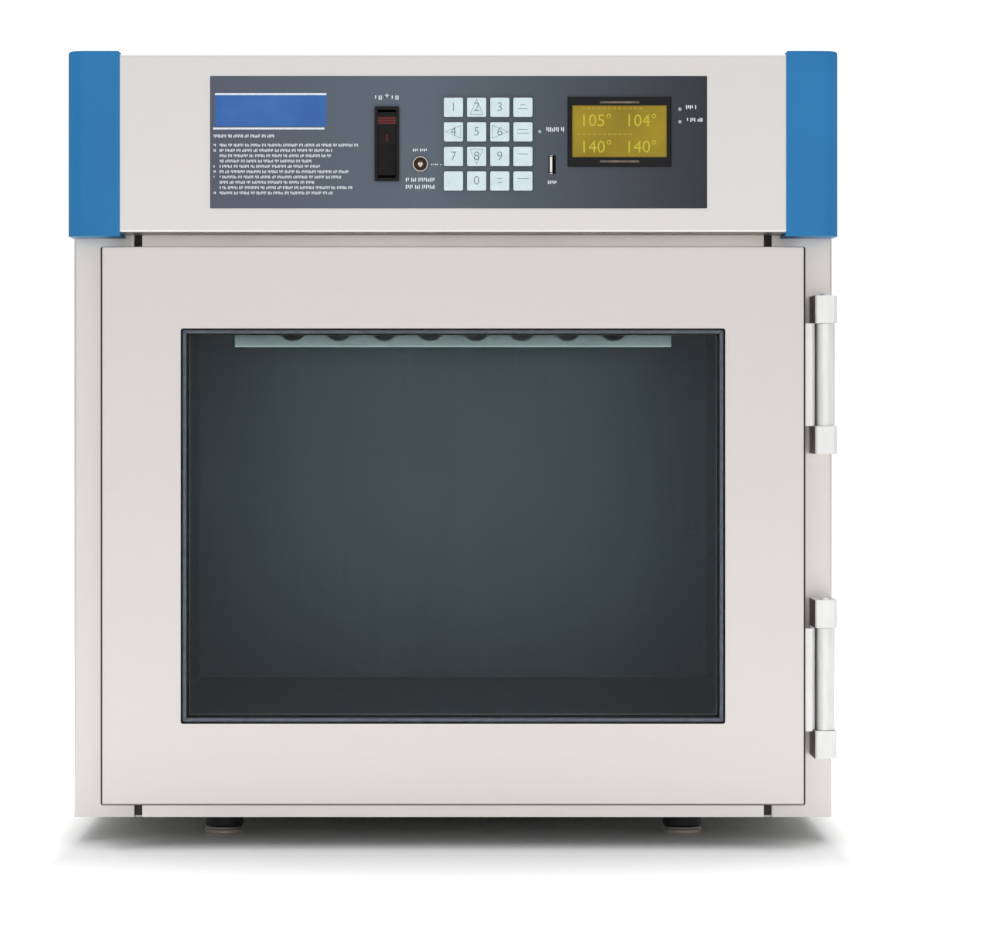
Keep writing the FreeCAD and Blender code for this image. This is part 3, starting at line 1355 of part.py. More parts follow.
def make_door_pan():
    """The inner pan that closes the door and clamps the glazing with its reveal."""
    body = new_body("door_inner_pan")
    gauge = size.door_gauge
    x, low, high = door_x - gauge, door_bottom + gauge, door_top - gauge
    front = pan_back - size.pan_depth
    sight = size.spacer_sight + size.gasket_sight
    hole_x, hole_low, hole_high = window_x - sight, window_bottom + sight, window_top - sight
    clamp = glass_back + size.gasket_depth
    add(body, "pan_block", "y", front, pan_back, [frame_outline(x, low, high)])
    cut(body, "pan_hollow", "y", front, pan_back - gauge,
        [frame_outline(x - gauge, low + gauge, high - gauge)])
    add(body, "reveal", "y", clamp, pan_back, [
        frame_outline(hole_x + gauge, hole_low - gauge, hole_high + gauge)])
    cut(body, "window", "y", clamp, pan_back, [frame_outline(hole_x, hole_low, hole_high)])
    bend(body, "window_corners", "y", window_corners(hole_x, hole_low, hole_high),
         size.window_corner - gauge)
    bend(body, "reveal_corners", "y",
         window_corners(hole_x + gauge, hole_low - gauge, hole_high + gauge), size.window_corner)


def make_glazing():
    """Two panes with a hollow bar between them, and the gasket that beds the unit."""
    lap = size.glass_lap
    outline = frame_outline(window_x + lap, window_bottom - lap, window_top + lap)
    panes = new_body("glass_panes")
    add(panes, "outer_pane", "y", outer_glass, outer_glass + size.glass_gauge, [outline])
    add(panes, "inner_pane", "y", inner_glass, glass_back, [outline])
    spacer = new_body("glass_spacer")
    sight, cover = size.spacer_sight, size.spacer_lap
    bed = size.spacer_bed
    add(spacer, "bar", "y", outer_glass + size.glass_gauge + bed, inner_glass - bed, [
        frame_outline(window_x + cover, window_bottom - cover, window_top + cover),
        frame_outline(window_x - sight, window_bottom + sight, window_top - sight)])
    gasket = new_body("window_gasket")
    sight = size.spacer_sight + size.gasket_sight
    add(gasket, "strip", "y", glass_back, glass_back + size.gasket_depth, [
        frame_outline(window_x + cover, window_bottom - cover, window_top + cover),
        frame_outline(window_x - sight, window_bottom + sight, window_top - sight)])
    corners = window_corners(window_x - sight, window_bottom + sight, window_top - sight)
    bend(gasket, "corners", "y", corners, size.window_corner - size.door_gauge)


def make_door_seal():
    """The magnetic seal round the back of the door, with a flex groove in its sides."""
    body = new_body("door_gasket")
    outer_x = door_x - size.seal_inset
    low, high = door_bottom + size.seal_inset, door_top - size.seal_inset
    width = size.seal_width
    front, back = pan_back, frame_y - size.seal_clearance
    middle = (front + back) / 2
    add(body, "seal", "y", front, back, [
        frame_outline(outer_x, low, high),
        frame_outline(outer_x - width, low + width, high - width)])
    groove = size.seal_groove / 2
    cut(body, "flex_groove", "y", middle - groove, middle + groove, [
        frame_outline(outer_x, low, high),
        frame_outline(outer_x - groove, low + groove, high - groove)])
    bend(body, "corners", "y", window_corners(outer_x, low, high), size.seal_groove)


# ---------------------------------------------------------------- hinges

def make_hinge_frame_leaves():
    """Base plates on the right stile, each with an upper and a lower block for the pin."""
    body = new_body("hinge_frame_leaves")
    half = size.block_width / 2
    plate_front = frame_y - size.leaf_gauge
    inner, nose = hinge_x - half, hinge_y - half
    for number, bottom in enumerate(hinge_bottoms):
        top = bottom + size.hinge_height
        add(body, f"plate_{number}", "z", bottom, top, [rectangle(inner, plate_front, half_width, frame_y)])
        for part, low in (("lower", bottom), ("upper", top - size.block_height)):
            high = low + size.block_height
            add(body, f"{part}_block_{number}", "z", low, high,
                [rectangle(inner, nose, hinge_x + half, frame_y)])
    bend(body, "block_edges", "z", [(inner, nose), (hinge_x + half, nose)], size.block_edge)
    bore = size.pin_diameter + 2 * size.pin_press
    cut(body, "pin_bores", "z", hinge_bottoms[0], hinge_bottoms[1] + size.hinge_height,
        [Circle(hinge_x, hinge_y, bore)])


def make_hinge_door_leaves():
    """Plates on the door's edge, each with the long knuckle between the frame's blocks."""
    body = new_body("hinge_door_leaves")
    half = size.door_leaf_depth / 2
    for number, bottom in enumerate(hinge_bottoms):
        low = bottom + size.block_height + size.knuckle_gap
        high = bottom + size.hinge_height - size.block_height - size.knuckle_gap
        leaf_x = door_x + size.door_leaf_gauge
        add(body, f"knuckle_{number}", "z", low, high, [Circle(hinge_x, hinge_y, size.knuckle_diameter)])
        add(body, f"web_{number}", "z", low, high,
            [rectangle(leaf_x - size.overrun, hinge_y, hinge_x, hinge_y + size.web_gauge)])
        add(body, f"leaf_{number}", "z", low, high,
            [rectangle(door_x, hinge_y - half, leaf_x, hinge_y + half)])
    bore = size.pin_diameter + 2 * size.pin_fit
    cut(body, "pin_bores", "z", hinge_bottoms[0], hinge_bottoms[1] + size.hinge_height,
        [Circle(hinge_x, hinge_y, bore)])


def make_hinge_pins():
    """Two pins with domed heads, pressed into the frame's blocks."""
    pins = []
    for number, bottom in enumerate(hinge_bottoms):
        shank = doc.addObject("Part::Cylinder", f"pin_shank_{number}")
        shank.setExpression("Radius", (size.pin_diameter / 2).text)
        shank.setExpression("Height", (size.hinge_height + size.pin_head_height / 2).text)
        place_at(shank, hinge_x, hinge_y, bottom)
        head = doc.addObject("Part::Cone", f"pin_head_{number}")
        head.setExpression("Radius1", (size.pin_head / 2).text)
        head.setExpression("Radius2", (size.pin_diameter / 2).text)
        head.setExpression("Height", size.pin_head_height.text)
        place_at(head, hinge_x, hinge_y, bottom + size.hinge_height)
        pin = doc.addObject("Part::MultiFuse", f"pin_{number}")
        pin.Shapes = [shank, head]
        pins.append(pin)
    group("hinge_pins", pins)


# ---------------------------------------------------------------- screws

def back_screws():
    """Screws of the back panel, in the rear flanges of the side panels."""
    x = half_width - size.screw_inset
    low, high = base_z + size.pan_height + size.screw_inset, body_top - 2 * size.screw_inset
    count = COUNTS["panel_screws"]
    pitch = (high - low) / (count - 1)
    return [(side * x, low + pitch * step) for side in (-1, 1) for step in range(count)]


def hood_screws():
    """Screws of the hood's rear sheet, along its bottom edge into the hood floor's upstand."""
    z = hood_floor + size.screw_inset
    reach = half_width - size.hood_screw_inset
    count = COUNTS["hood_screws"]
    pitch = 2 * reach / (count - 1)
    return [(pitch * step - reach, z) for step in range(count)]


def make_screws():
    """Cross-headed screws that hold the back panel and the hood's rear sheet."""
    screws = []
    reach, half = size.recess_span / 2, size.recess_width / 2
    mouth = back_y + size.screw_head_height
    for number, (x, z) in enumerate(back_screws() + hood_screws()):
        shank = doc.addObject("Part::Cylinder", f"screw_shank_{number}")
        shank.setExpression("Radius", (size.screw_diameter / 2).text)
        shank.setExpression("Height", (size.screw_length + 0).text)
        place_at(shank, x, back_y - size.screw_length, z)
        head = doc.addObject("Part::Cone", f"screw_head_{number}")
        head.setExpression("Radius1", (size.screw_head / 2).text)
        head.setExpression("Radius2", (size.screw_head / 2 - size.screw_head_height / 2).text)
        head.setExpression("Height", size.screw_head_height.text)
        place_at(head, x, back_y, z)
        for solid in (shank, head):
            solid.Placement.Rotation = FreeCAD.Rotation(AXES["x"], -90)
        blank = doc.addObject("Part::MultiFuse", f"screw_blank_{number}")
        blank.Shapes = [shank, head]
        recess = doc.addObject("Part::MultiFuse", f"screw_recess_{number}")
        recess.Shapes = [
            solid_box(f"screw_arm_{number}_{arm}", (x - across, x + across),
                      (mouth - size.recess_depth, mouth + size.overrun), (z - up, z + up))
            for arm, (across, up) in enumerate(((reach, half), (half, reach)))
        ]
        screw = doc.addObject("Part::Cut", f"screw_{number}")
        screw.Base = blank
        screw.Tool = recess
        screws.append(screw)
    group("cabinet_screws", screws)


# ---------------------------------------------------------------- the whole cabinet

def build():
    make_side_panel("side_panel_left", -1)
    make_side_panel("side_panel_right", 1)
    make_base_pan()
    make_back_panel()
    make_chamber_liner()
    make_breaker_strips()
    make_insulation()
    make_ceiling_duct()
    make_heater()
    make_blower_motor()
    make_blower_wheel()
    make_probe()
    make_hood_base()
    make_hood_cover()
    make_hood_front()
    make_hood_back()
    make_corner_cap("corner_cap_left", -1)
    make_corner_cap("corner_cap_right", 1)
    make_overlay()
    make_keypad_body()
    for label, x, z in key_places():
        make_key(label, x, z)
    make_display()
    make_rocker()
    make_lock()
    make_port()
    make_indicator_leds()
    make_control_board()
    make_power_inlet()
    for label, x, y in foot_places():
        make_foot(label, x, y)
    make_door_skin()
    make_door_pan()
    make_glazing()
    make_door_seal()
    make_hinge_frame_leaves()
    make_hinge_door_leaves()
    make_hinge_pins()
    make_screws()


def export():
    """Checks every object and writes one STEP file for each piece."""
    doc.recompute()
    for item in doc.Objects:
        if "Invalid" in item.State or "Error" in item.State:
            raise RuntimeError(f"{item.Label} failed to build: {item.State}")
    for piece in pieces:
        if piece.Shape.isNull() or not piece.Shape.isValid():
            raise RuntimeError(f"{piece.Label} has no valid shape")
    os.makedirs("parts", exist_ok=True)
    for piece in pieces:
        piece.Shape.exportStep(f"parts/{piece.Label}.step")


build()
export()
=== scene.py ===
import math

import bmesh
import bpy
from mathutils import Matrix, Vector


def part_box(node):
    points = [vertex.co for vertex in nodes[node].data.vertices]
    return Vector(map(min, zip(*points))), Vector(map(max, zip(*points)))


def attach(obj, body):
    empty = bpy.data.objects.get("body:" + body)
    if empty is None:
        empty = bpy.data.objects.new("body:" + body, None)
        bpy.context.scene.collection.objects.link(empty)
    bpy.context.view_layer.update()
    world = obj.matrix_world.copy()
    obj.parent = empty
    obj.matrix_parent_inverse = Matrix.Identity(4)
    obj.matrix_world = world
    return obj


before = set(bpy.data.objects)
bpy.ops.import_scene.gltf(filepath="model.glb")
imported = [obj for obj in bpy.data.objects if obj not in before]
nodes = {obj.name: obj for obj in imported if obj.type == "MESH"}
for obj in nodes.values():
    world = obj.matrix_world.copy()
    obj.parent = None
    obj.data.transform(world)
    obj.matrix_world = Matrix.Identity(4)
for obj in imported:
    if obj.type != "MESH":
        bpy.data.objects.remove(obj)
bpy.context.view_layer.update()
mm = 0.001


# Camera. It looks straight at the door from 2.8 m in front of the frame, level with the upper
# part of the window, and the lens is shifted so that the cabinet stands left of the middle.

image_width, image_height = 987, 940
eye_column, eye_row = 453, 396  # where the line of sight meets the picture
pixels_per_metre = 1243  # at the face of the front frame
sensor = 36
stand_off = 2.8
eye_height = 0.3587

frame_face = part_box("chamber_liner")[0].y
camera_data = bpy.data.cameras.new("camera")
camera_data.sensor_width = sensor
camera_data.lens = pixels_per_metre * stand_off * sensor / image_width
camera_data.shift_x = (image_width / 2 - eye_column) / image_width
camera_data.shift_y = (eye_row - image_height / 2) / image_width
camera = bpy.data.objects.new("camera", camera_data)
camera.location = (0, frame_face - stand_off, eye_height)
camera.rotation_euler = (math.pi / 2, 0, 0)
bpy.context.scene.collection.objects.link(camera)
bpy.context.scene.camera = camera
bpy.context.scene.view_settings.view_transform = "Standard"


# Shader building, first needed by the floor. A Wire is one output of a node, and sums on it add
# Math nodes. A NodeTree makes every other node in its node(), and a Finish is one material.

class Wire:
    def __init__(self, tree, socket):
        self.tree, self.socket = tree, socket

    def sum(self, operation, left, right):
        return self.tree.node("ShaderNodeMath", {"operation": operation}, {0: left, 1: right})

    def __add__(self, other):
        return self.sum("ADD", self, other)

    def __radd__(self, other):
        return self.sum("ADD", other, self)

    def __sub__(self, other):
        return self.sum("SUBTRACT", self, other)

    def __rsub__(self, other):
        return self.sum("SUBTRACT", other, self)

    def __mul__(self, other):
        return self.sum("MULTIPLY", self, other)

    def __rmul__(self, other):
        return self.sum("MULTIPLY", other, self)

    def __gt__(self, other):
        return self.sum("GREATER_THAN", self, other)

    def __lt__(self, other):
        return self.sum("LESS_THAN", self, other)

    def __abs__(self):
        return self.tree.node("ShaderNodeMath", {"operation": "ABSOLUTE"}, {0: self})


class NodeTree:
    def __init__(self, tree):
        self.tree = tree

    def node(self, kind, settings=None, inputs=None, output=0):
        made = self.tree.nodes.new(kind)
        for name, value in (settings or {}).items():
            if name == "stops":
                ramp = made.color_ramp
                while len(ramp.elements) < len(value):
                    ramp.elements.new(1)
                for element, (place, colour) in zip(ramp.elements, value):
                    element.position, element.color = place, (*colour, 1)
            else:
                setattr(made, name, value)
        for name, value in (inputs or {}).items():
            self.feed(made.inputs[name], value)
        return Wire(self, made.outputs[output])

    def feed(self, socket, value):
        if isinstance(value, Wire):
            self.tree.links.new(value.socket, socket)
        elif socket.type == "RGBA" and len(value) == 3:
            socket.default_value = (*value, 1)
        else:
            socket.default_value = value

    def ramp(self, factor, *stops):
        return self.node("ShaderNodeValToRGB", {"stops": stops}, {"Fac": factor})

    def grey_ramp(self, factor, *stops):
        return self.ramp(factor, *((place, (grey, grey, grey)) for place, grey in stops))

    def highest(self, first, second):
        return self.node("ShaderNodeMath", {"operation": "MAXIMUM"}, {0: first, 1: second})


class Finish(NodeTree):
    def __init__(self, name, **sockets):
        self.material = bpy.data.materials.new(name)
        self.material.use_nodes = True
        super().__init__(self.material.node_tree)
        self.shader = self.tree.nodes["Principled BSDF"]
        self.output = self.tree.nodes["Material Output"]
        self.set(**sockets)

    def set(self, **sockets):
        for name, value in sockets.items():
            self.feed(self.shader.inputs[name.replace("_", " ")], value)

    def place(self, stretch=(1, 1, 1)):
        """Where a point lies on the cabinet, in metres, stretched along each axis."""
        spot = self.node("ShaderNodeTexCoord", output=3)
        return self.node("ShaderNodeVectorMath", {"operation": "MULTIPLY"}, {0: spot, 1: stretch})

    def along(self, axis):
        """How far along an axis a point lies, in metres."""
        return self.node("ShaderNodeSeparateXYZ", None, {"Vector": self.place()}, output=axis)

    def faces(self, axis):
        """How far the surface faces along an axis of the piece, -1 to 1."""
        normal = self.node("ShaderNodeTexCoord", output=1)
        return self.node("ShaderNodeSeparateXYZ", None, {"Vector": normal}, output=axis)

    def noise(self, scale, detail=2, stretch=(1, 1, 1), rough=0.5):
        return self.node("ShaderNodeTexNoise", None, {
            "Vector": self.place(stretch), "Scale": scale, "Detail": detail, "Roughness": rough})

    def two_tone(self, factor, first, second):
        """Runs from one screen colour to another over the middle of a noise."""
        return self.ramp(factor, (0.3, colour(*first)), (0.7, colour(*second)))

    def blend(self, factor, first, second):
        return self.node("ShaderNodeMix", {"data_type": "RGBA"}, {0: factor, 6: first, 7: second},
                         output=2)

    def bump(self, height, strength, distance):
        return self.node("ShaderNodeBump", None,
                         {"Height": height, "Strength": strength, "Distance": distance})


def colour(red, green, blue):
    """A colour that is given as it looks on a screen, 0 to 255."""
    return tuple((part / 255 / 12.92) if part <= 10 else ((part / 255 + 0.055) / 1.055) ** 2.4
                 for part in (red, green, blue))


def shade(tint, amount):
    return tuple(min(1, part * amount) for part in tint)


def coat(finish, *names):
    """Gives CAD nodes a finish in all their material slots."""
    for name in names:
        mesh = nodes[name].data
        mesh.materials.clear()
        mesh.materials.append(finish.material)


# Floor and light. A plain white floor with painted light: it glows a little away from the cabinet's
# foot, which thins the cabinet's shadow there. One broad soft lamp over the cabinet, two at the
# sides of the viewer, and a white room. The metal mirrors the room and the floor, not the lamps;
# the room's dim belts draw the folds and rounded edges.

floor_mesh = bpy.data.meshes.new("floor")
reach = 6
floor_mesh.from_pydata([(-reach, -reach, 0), (reach, -reach, 0), (reach, reach, 0), (-reach, reach, 0)],
                       [], [(0, 1, 2, 3)])
floor = bpy.data.objects.new("floor", floor_mesh)
bpy.context.scene.collection.objects.link(floor)
floor_white = 0.98
floor_finish = Finish("floor_white", Base_Color=(floor_white, floor_white, floor_white), Roughness=0.9,
                      Specular_IOR_Level=0, Emission_Strength=0.5)
footprint = ((0, 0.295, 7), (1, 0.28, 1))  # axis, half of the size, and how fast the glow rises
beside, before = ((abs(floor_finish.along(axis)) - half) * rate for axis, half, rate in footprint)
# Painted light: the floor's glow rises away from the cabinet's foot and thins its shadow.
floor_finish.set(Emission_Color=floor_finish.grey_ramp(
    floor_finish.highest(beside, before) * 0.5, (0.02, 0), (0.15, 1), (0.5, 0.8), (1.0, 0.5)))
floor_mesh.materials.append(floor_finish.material)

world = bpy.data.worlds.new("room")
bpy.context.scene.world = world
world.use_nodes = True
room = NodeTree(world.node_tree)
backdrop = room.tree.nodes["Background"]
backdrop.inputs["Color"].default_value = (1, 1, 1, 1)
room_level = 1.28
sideways, upward = (
    room.node("ShaderNodeSeparateXYZ", None, {0: room.node("ShaderNodeTexCoord")}, output=axis)
    for axis in (0, 2))
side_belts = room.grey_ramp(abs(sideways), (0.36, 1), (0.58, 0.25), (0.88, 0.25), (1.0, 0.7))
high_belts = room.grey_ramp(upward, (0.03, 0.84), (0.1, 0.94), (0.24, 0.5), (0.5, 0.5), (0.68, 1))
camera_ray = room.node("ShaderNodeLightPath", output=0)
room.feed(backdrop.inputs["Strength"],
          room.highest(side_belts * high_belts * room_level, camera_ray))


def add_lamp(name, power, width, height, spot, target):
    """A soft rectangular lamp that faces a point of the cabinet."""
    data = bpy.data.lights.new(name, "AREA")
    data.shape = "RECTANGLE"
    data.size, data.size_y, data.energy = width, height, power
    lamp = bpy.data.objects.new(name, data)
    lamp.location = spot
    lamp.visible_glossy = False
    lamp.rotation_euler = (Vector(target) - Vector(spot)).to_track_quat("-Z", "Y").to_euler()
    bpy.context.scene.collection.objects.link(lamp)


# name, watts, width, height, place and the point that it faces
add_lamp("lamp_over", 18, 2.4, 1.8, (0.1, 0.25, 2.6), (0, 0, 0.3))
add_lamp("lamp_left", 16, 1.4, 1.8, (-2.2, -2.3, 1.7), (0, -0.2, 0.3))
add_lamp("lamp_right", 12, 1.4, 1.8, (2.4, -2.1, 1.5), (0, -0.2, 0.3))


# Steel shell: two side panels with their stiles, base pan and back panel. Folded stainless
# sheet with a fine satin grain that runs along the sheet; the pan and back are plain mill sheet.

steel_tint = colour(220, 216, 212)
hair_stretch = {"x": (3, 160, 160), "z": (160, 160, 3)}


def hair_lines(finish, grain):
    """Fine polishing lines that run along the axis given."""
    return finish.noise(9, 3, hair_stretch[grain], 0.6)


def sheet_steel(name, grain, tint=steel_tint, roughness=0.36, tone=0.03):
    """Satin stainless sheet, whose grain runs along the axis given."""
    finish = Finish(name, Metallic=0.88)
    hair = hair_lines(finish, grain)
    band = finish.noise(5, 2, tuple(part / 6 for part in hair_stretch[grain]))
    cloud = finish.noise(3.2, 3)
    mix = hair * 0.5 + band * 0.2 + cloud * 0.3
    finish.tone = finish.ramp(mix, (0.3, shade(tint, 1 - tone)), (0.7, shade(tint, 1 + tone / 3)))
    finish.set(
        Base_Color=finish.tone,
        Roughness=mix * 0.22 + (roughness - 0.11),
        Normal=finish.bump(hair, 0.05, 0.2 * mm),
    )
    return finish


satin_upright = sheet_steel("satin_steel_upright", "z")
satin_across = sheet_steel("satin_steel_across", "x")
mill_sheet = sheet_steel("mill_sheet", "x", colour(196, 196, 194), 0.42, 0.06)
coat(satin_upright, "side_panel_left", "side_panel_right")
coat(mill_sheet, "base_pan", "back_panel")


# Levelling feet: a black moulded pad on a polished glide, with a zinc-plated stud above. One
# turned piece each, so the finish changes with height.

foot = Finish("levelling_foot")
height = foot.along(2)
glide_top, pad_top = 5.6 * mm, 19.8 * mm
metal = foot.highest(height < glide_top, height > pad_top)
foot.set(
    Metallic=metal * 0.55,
    Roughness=0.55 - metal * 0.32,
    Base_Color=foot.blend(metal, colour(22, 22, 23), colour(206, 198, 186)),
    Normal=foot.bump(foot.noise(900, 2), 0.12, 0.1 * mm),
)
coat(foot, *(name for name in nodes if name.startswith("levelling_foot")))


# Warming chamber: one polished stainless box with coved corners, on a front flange. The box
# mirrors itself, and its colour is also painted dark: painted shade for the inside of the shut
# chamber. The flange is painted paler than the shell's steel: painted light against the shade of
# the hood and door over it. Faint rolling lines and wipe marks break the mirror.

liner = Finish("polished_liner", Metallic=1.0)
wipe = liner.noise(7, 4, (1, 1, 0.35), 0.6)
rolled = liner.noise(6, 3, (60, 2, 2))
depth = liner.along(1)
flange_sheet = 1.2 * mm
flange = depth < frame_face + flange_sheet
# Painted shade: the box's colour is set dark for the inside of the shut chamber.
polished = liner.two_tone(wipe * 0.6 + rolled * 0.4, (104, 110, 118), (122, 127, 134))
# Painted light: the flange is paler than the shell's steel, against the shade over it.
liner.set(
    Base_Color=liner.blend(flange, polished, colour(230, 226, 221)),
    Roughness=wipe * 0.14 + 0.29,
)
coat(liner, "chamber_liner")


# Thermal breaker strips: extruded dark plastic between the warm liner and the cool stiles.
# Insulation: mineral wool batts, hidden once the cabinet is shut.

breaker = Finish("breaker_plastic", Roughness=0.5)
breaker.set(Base_Color=breaker.two_tone(breaker.noise(60, 3), (34, 33, 33), (46, 44, 43)),
            Normal=breaker.bump(breaker.noise(400, 2), 0.1, 0.1 * mm))
coat(breaker, "breaker_strips")

wool = Finish("mineral_wool", Roughness=0.95)
tuft = wool.noise(90, 5, (1, 1, 3), 0.7)
wool.set(Base_Color=wool.two_tone(tuft, (160, 140, 82), (214, 196, 134)),
         Normal=wool.bump(tuft, 0.7, 3 * mm))
coat(wool, "insulation_batts")


# Ceiling duct: folded from bright satin sheet, so that its front catches the light under the
# ceiling. Its rolled lip is painted near-white, a painted highlight that shows as a white line.
# The punched holes are left with bare edges.

duct = Finish("duct_sheet", Metallic=0.9)
lip_height = 1.8 * mm
lip_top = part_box("ceiling_duct")[0].z + lip_height
duct_tone = duct.two_tone(duct.noise(30, 3), (216, 224, 225), (228, 235, 236))
# Painted highlight: the rolled lip below lip_top is near-white.
duct.set(
    Base_Color=duct.blend(duct.along(2) < lip_top, duct_tone, colour(252, 254, 254)),
    Roughness=duct.noise(20, 2) * 0.08 + 0.16,
    Normal=duct.bump(hair_lines(duct, "x"), 0.05, 0.2 * mm),
)
coat(duct, "ceiling_duct")


# Heater, blower wheel, motor and probe. Heat-tinted steel tube, spun aluminium wheel, black
# painted motor can, and a bright stainless probe.

hot_tube = Finish("heater_tube", Metallic=1.0)
scale_spots = hot_tube.noise(70, 4)
hot_tube.set(Base_Color=hot_tube.two_tone(scale_spots, (96, 84, 80), (140, 124, 108)),
             Roughness=scale_spots * 0.3 + 0.3)
coat(hot_tube, "heater_element")

spun = Finish("spun_aluminium", Metallic=1.0)
turning = spun.noise(80, 3, (1, 1, 12))
spun.set(Base_Color=spun.two_tone(turning, (190, 192, 194), (214, 215, 216)),
         Roughness=turning * 0.2 + 0.25)
coat(spun, "blower_wheel")

motor_paint = Finish("motor_paint", Coat_Roughness=0.3)
peel = motor_paint.noise(300, 2)
motor_paint.set(Base_Color=motor_paint.two_tone(peel, (34, 35, 37), (42, 43, 45)),
                Roughness=peel * 0.15 + 0.35, Normal=motor_paint.bump(peel, 0.15, 0.2 * mm))
coat(motor_paint, "blower_motor")

bright = Finish("bright_metal", Metallic=1.0)
polish = bright.noise(160, 3)
bright.set(Base_Color=bright.two_tone(polish, (206, 203, 198), (226, 223, 219)),
           Roughness=polish * 0.14 + 0.1)
coat(bright, "temperature_probe", "cabinet_screws")


# Control hood: cover, front channel and slotted back, folded from satin sheet whose grain runs
# across, like the door's. The floor is warmer mill sheet, seen as a tan band from below, and is
# painted paler than the mill sheet elsewhere: painted light against the shade under the hood.

hood_sheet = sheet_steel("hood_sheet", "x", colour(225, 222, 219))
coat(hood_sheet, "hood_front", "hood_cover", "hood_back")
# Painted light: the hood's floor is paler than the mill sheet, against the shade under the hood.
floor_sheet = sheet_steel("floor_sheet", "x", colour(232, 220, 200), 0.42, 0.05)
coat(floor_sheet, "hood_base")


# Corner caps: injection-moulded blue plastic with a fine, even grain from the mould, a little
# shinier in patches where hands rub.

cap_plastic = Finish("blue_moulding", Specular_IOR_Level=0.3)
grain = cap_plastic.noise(1500, 2)
wash = cap_plastic.noise(12, 3)
cap_plastic.set(
    Base_Color=cap_plastic.two_tone(wash, (28, 108, 162), (34, 116, 172)),
    Roughness=wash * 0.12 + 0.4,
    Normal=cap_plastic.bump(grain, 0.12, 0.08 * mm),
)
coat(cap_plastic, "corner_cap_left", "corner_cap_right")


# Control overlay: a back-printed film on the hood's front. It is slate grey, with painted light
# and shade along it: brightest a little left of the middle, darker towards its right end. It has
# a matt embossed surface.

film = Finish("overlay_film", Specular_IOR_Level=0.3)
overlay_low, overlay_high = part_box("control_overlay")
painted_light_across = film.node("ShaderNodeMapRange", None,
                 {"Value": film.along(0), "From Min": overlay_low.x, "From Max": overlay_high.x})
pimple = film.noise(2200, 1)
# Painted light and shade along the film, darkest at its right end.
film.set(
    Base_Color=film.ramp(painted_light_across, (0.0, colour(78, 84, 97)), (0.42, colour(86, 96, 107)),
                         (0.7, colour(68, 76, 86)), (1.0, colour(42, 45, 50))),
    Roughness=film.noise(20, 3) * 0.1 + 0.42,
    Normal=film.bump(pimple, 0.06, 0.05 * mm),
)
coat(film, "control_overlay")

ink_depth = 0.05 * mm


def add_print(name, mesh, body, finish):
    """Makes a printed mesh a piece of its own, on the body that carries it."""
    mesh.materials.append(finish.material)
    piece = bpy.data.objects.new(name, mesh)
    bpy.context.scene.collection.objects.link(piece)
    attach(piece, body)


def print_mesh(name, shapes, front, body, finish, depth=ink_depth):
    """Thin flat shapes, each a list of (x, z) corners, that lie on a face towards the viewer."""
    work = bmesh.new()
    for corners in shapes:
        near = [work.verts.new((x, front - depth, z)) for x, z in corners]
        far = [work.verts.new((x, front, z)) for x, z in corners]
        work.faces.new(near)
        work.faces.new(far[::-1])
        for here, there in zip(range(len(near)), [*range(1, len(near)), 0]):
            work.faces.new((near[there], near[here], far[here], far[there]))
    bmesh.ops.recalc_face_normals(work, faces=work.faces)
    mesh = bpy.data.meshes.new(name)
    work.to_mesh(mesh)
    work.free()
    add_print(name, mesh, body, finish)


def bar(left, bottom, width, height):
    right, top = left + width, bottom + height
    return [(left, bottom), (right, bottom), (right, top), (left, top)]


def stroke(start, end, width):
    """A thin line of ink from one point to another."""
    (x0, z0), (x1, z1) = start, end
    along = Vector((x1 - x0, z1 - z0)).normalized() * width / 2
    side = Vector((-along.y, along.x))
    return [(x0 - along.x - side.x, z0 - along.y - side.y),
            (x1 + along.x - side.x, z1 + along.y - side.y),
            (x1 + along.x + side.x, z1 + along.y + side.y),
            (x0 - along.x + side.x, z0 - along.y + side.y)]


# Print on the overlay: white ink. Rows of plain upright strokes stand for the operating notes
# and for the labels of the lock, the port and the lamps; a power sign marks the switch.

ink = Finish("white_ink", Roughness=0.5)
ink.set(Base_Color=ink.ramp(ink.noise(900, 2), (0.25, colour(196, 204, 212)), (0.6, colour(222, 228, 234))))
overlay_front = overlay_low.y


def stroke_row(left, middle, length, height, pen=0.62):
    """A row of upright strokes in groups, as long as a line of print. Sizes in millimetres."""
    short, step, group_step = 0.72, 1.85, 3.4  # shares of the full height and of the pen's width
    row, x, count = [], left, 0
    while x + pen < left + length:
        swing = math.sin(2.7 * count + middle)
        tall = height * (1 if swing > -0.2 else short)
        low = middle - height / 2 + (height - tall) * (swing < -0.6)
        row.append(bar(x * mm, low * mm, pen * mm, tall * mm))
        group_ends = math.sin(1.9 * count + 0.7 * middle) > 0.86
        x += pen * (group_step if group_ends else step)
        count += 1
    return row


note_left, note_text, note_top, note_pitch = -189.2, -184.4, 557, 4.2
heading_middle, heading_length, heading_height, note_height, bullet = 564.2, 48.6, 2.5, 2.3, 2
note_lengths = (110.2, 89.1, 88.7, 72.4, 79.8, 102.4, 97.4, 75.3, 104.9, 90.1)
numbered = (0, 1, 4, 5, 6, 9)
marks = stroke_row(note_left, heading_middle, heading_length, heading_height)
for line, length in enumerate(note_lengths):
    middle = note_top - note_pitch * line
    marks += stroke_row(note_text, middle, length, note_height)
    if line in numbered:
        marks += stroke_row(note_left, middle, bullet, bullet)

sign_x, sign_z, sign_radius, sign_pen = -52.2 * mm, 594.6 * mm, 2.1 * mm, 0.8 * mm
sign_start, sign_sweep, arc_steps = 125, 290, 14
for step in range(arc_steps):
    ends = []
    for place in (step, step + 1):
        angle = math.radians(sign_start + sign_sweep * place / arc_steps)
        ends.append((sign_x + sign_radius * math.cos(angle), sign_z + sign_radius * math.sin(angle)))
    marks.append(stroke(*ends, sign_pen))
marks.append(stroke((sign_x, sign_z + 0.6 * mm), (sign_x, sign_z + 2.6 * mm), sign_pen))

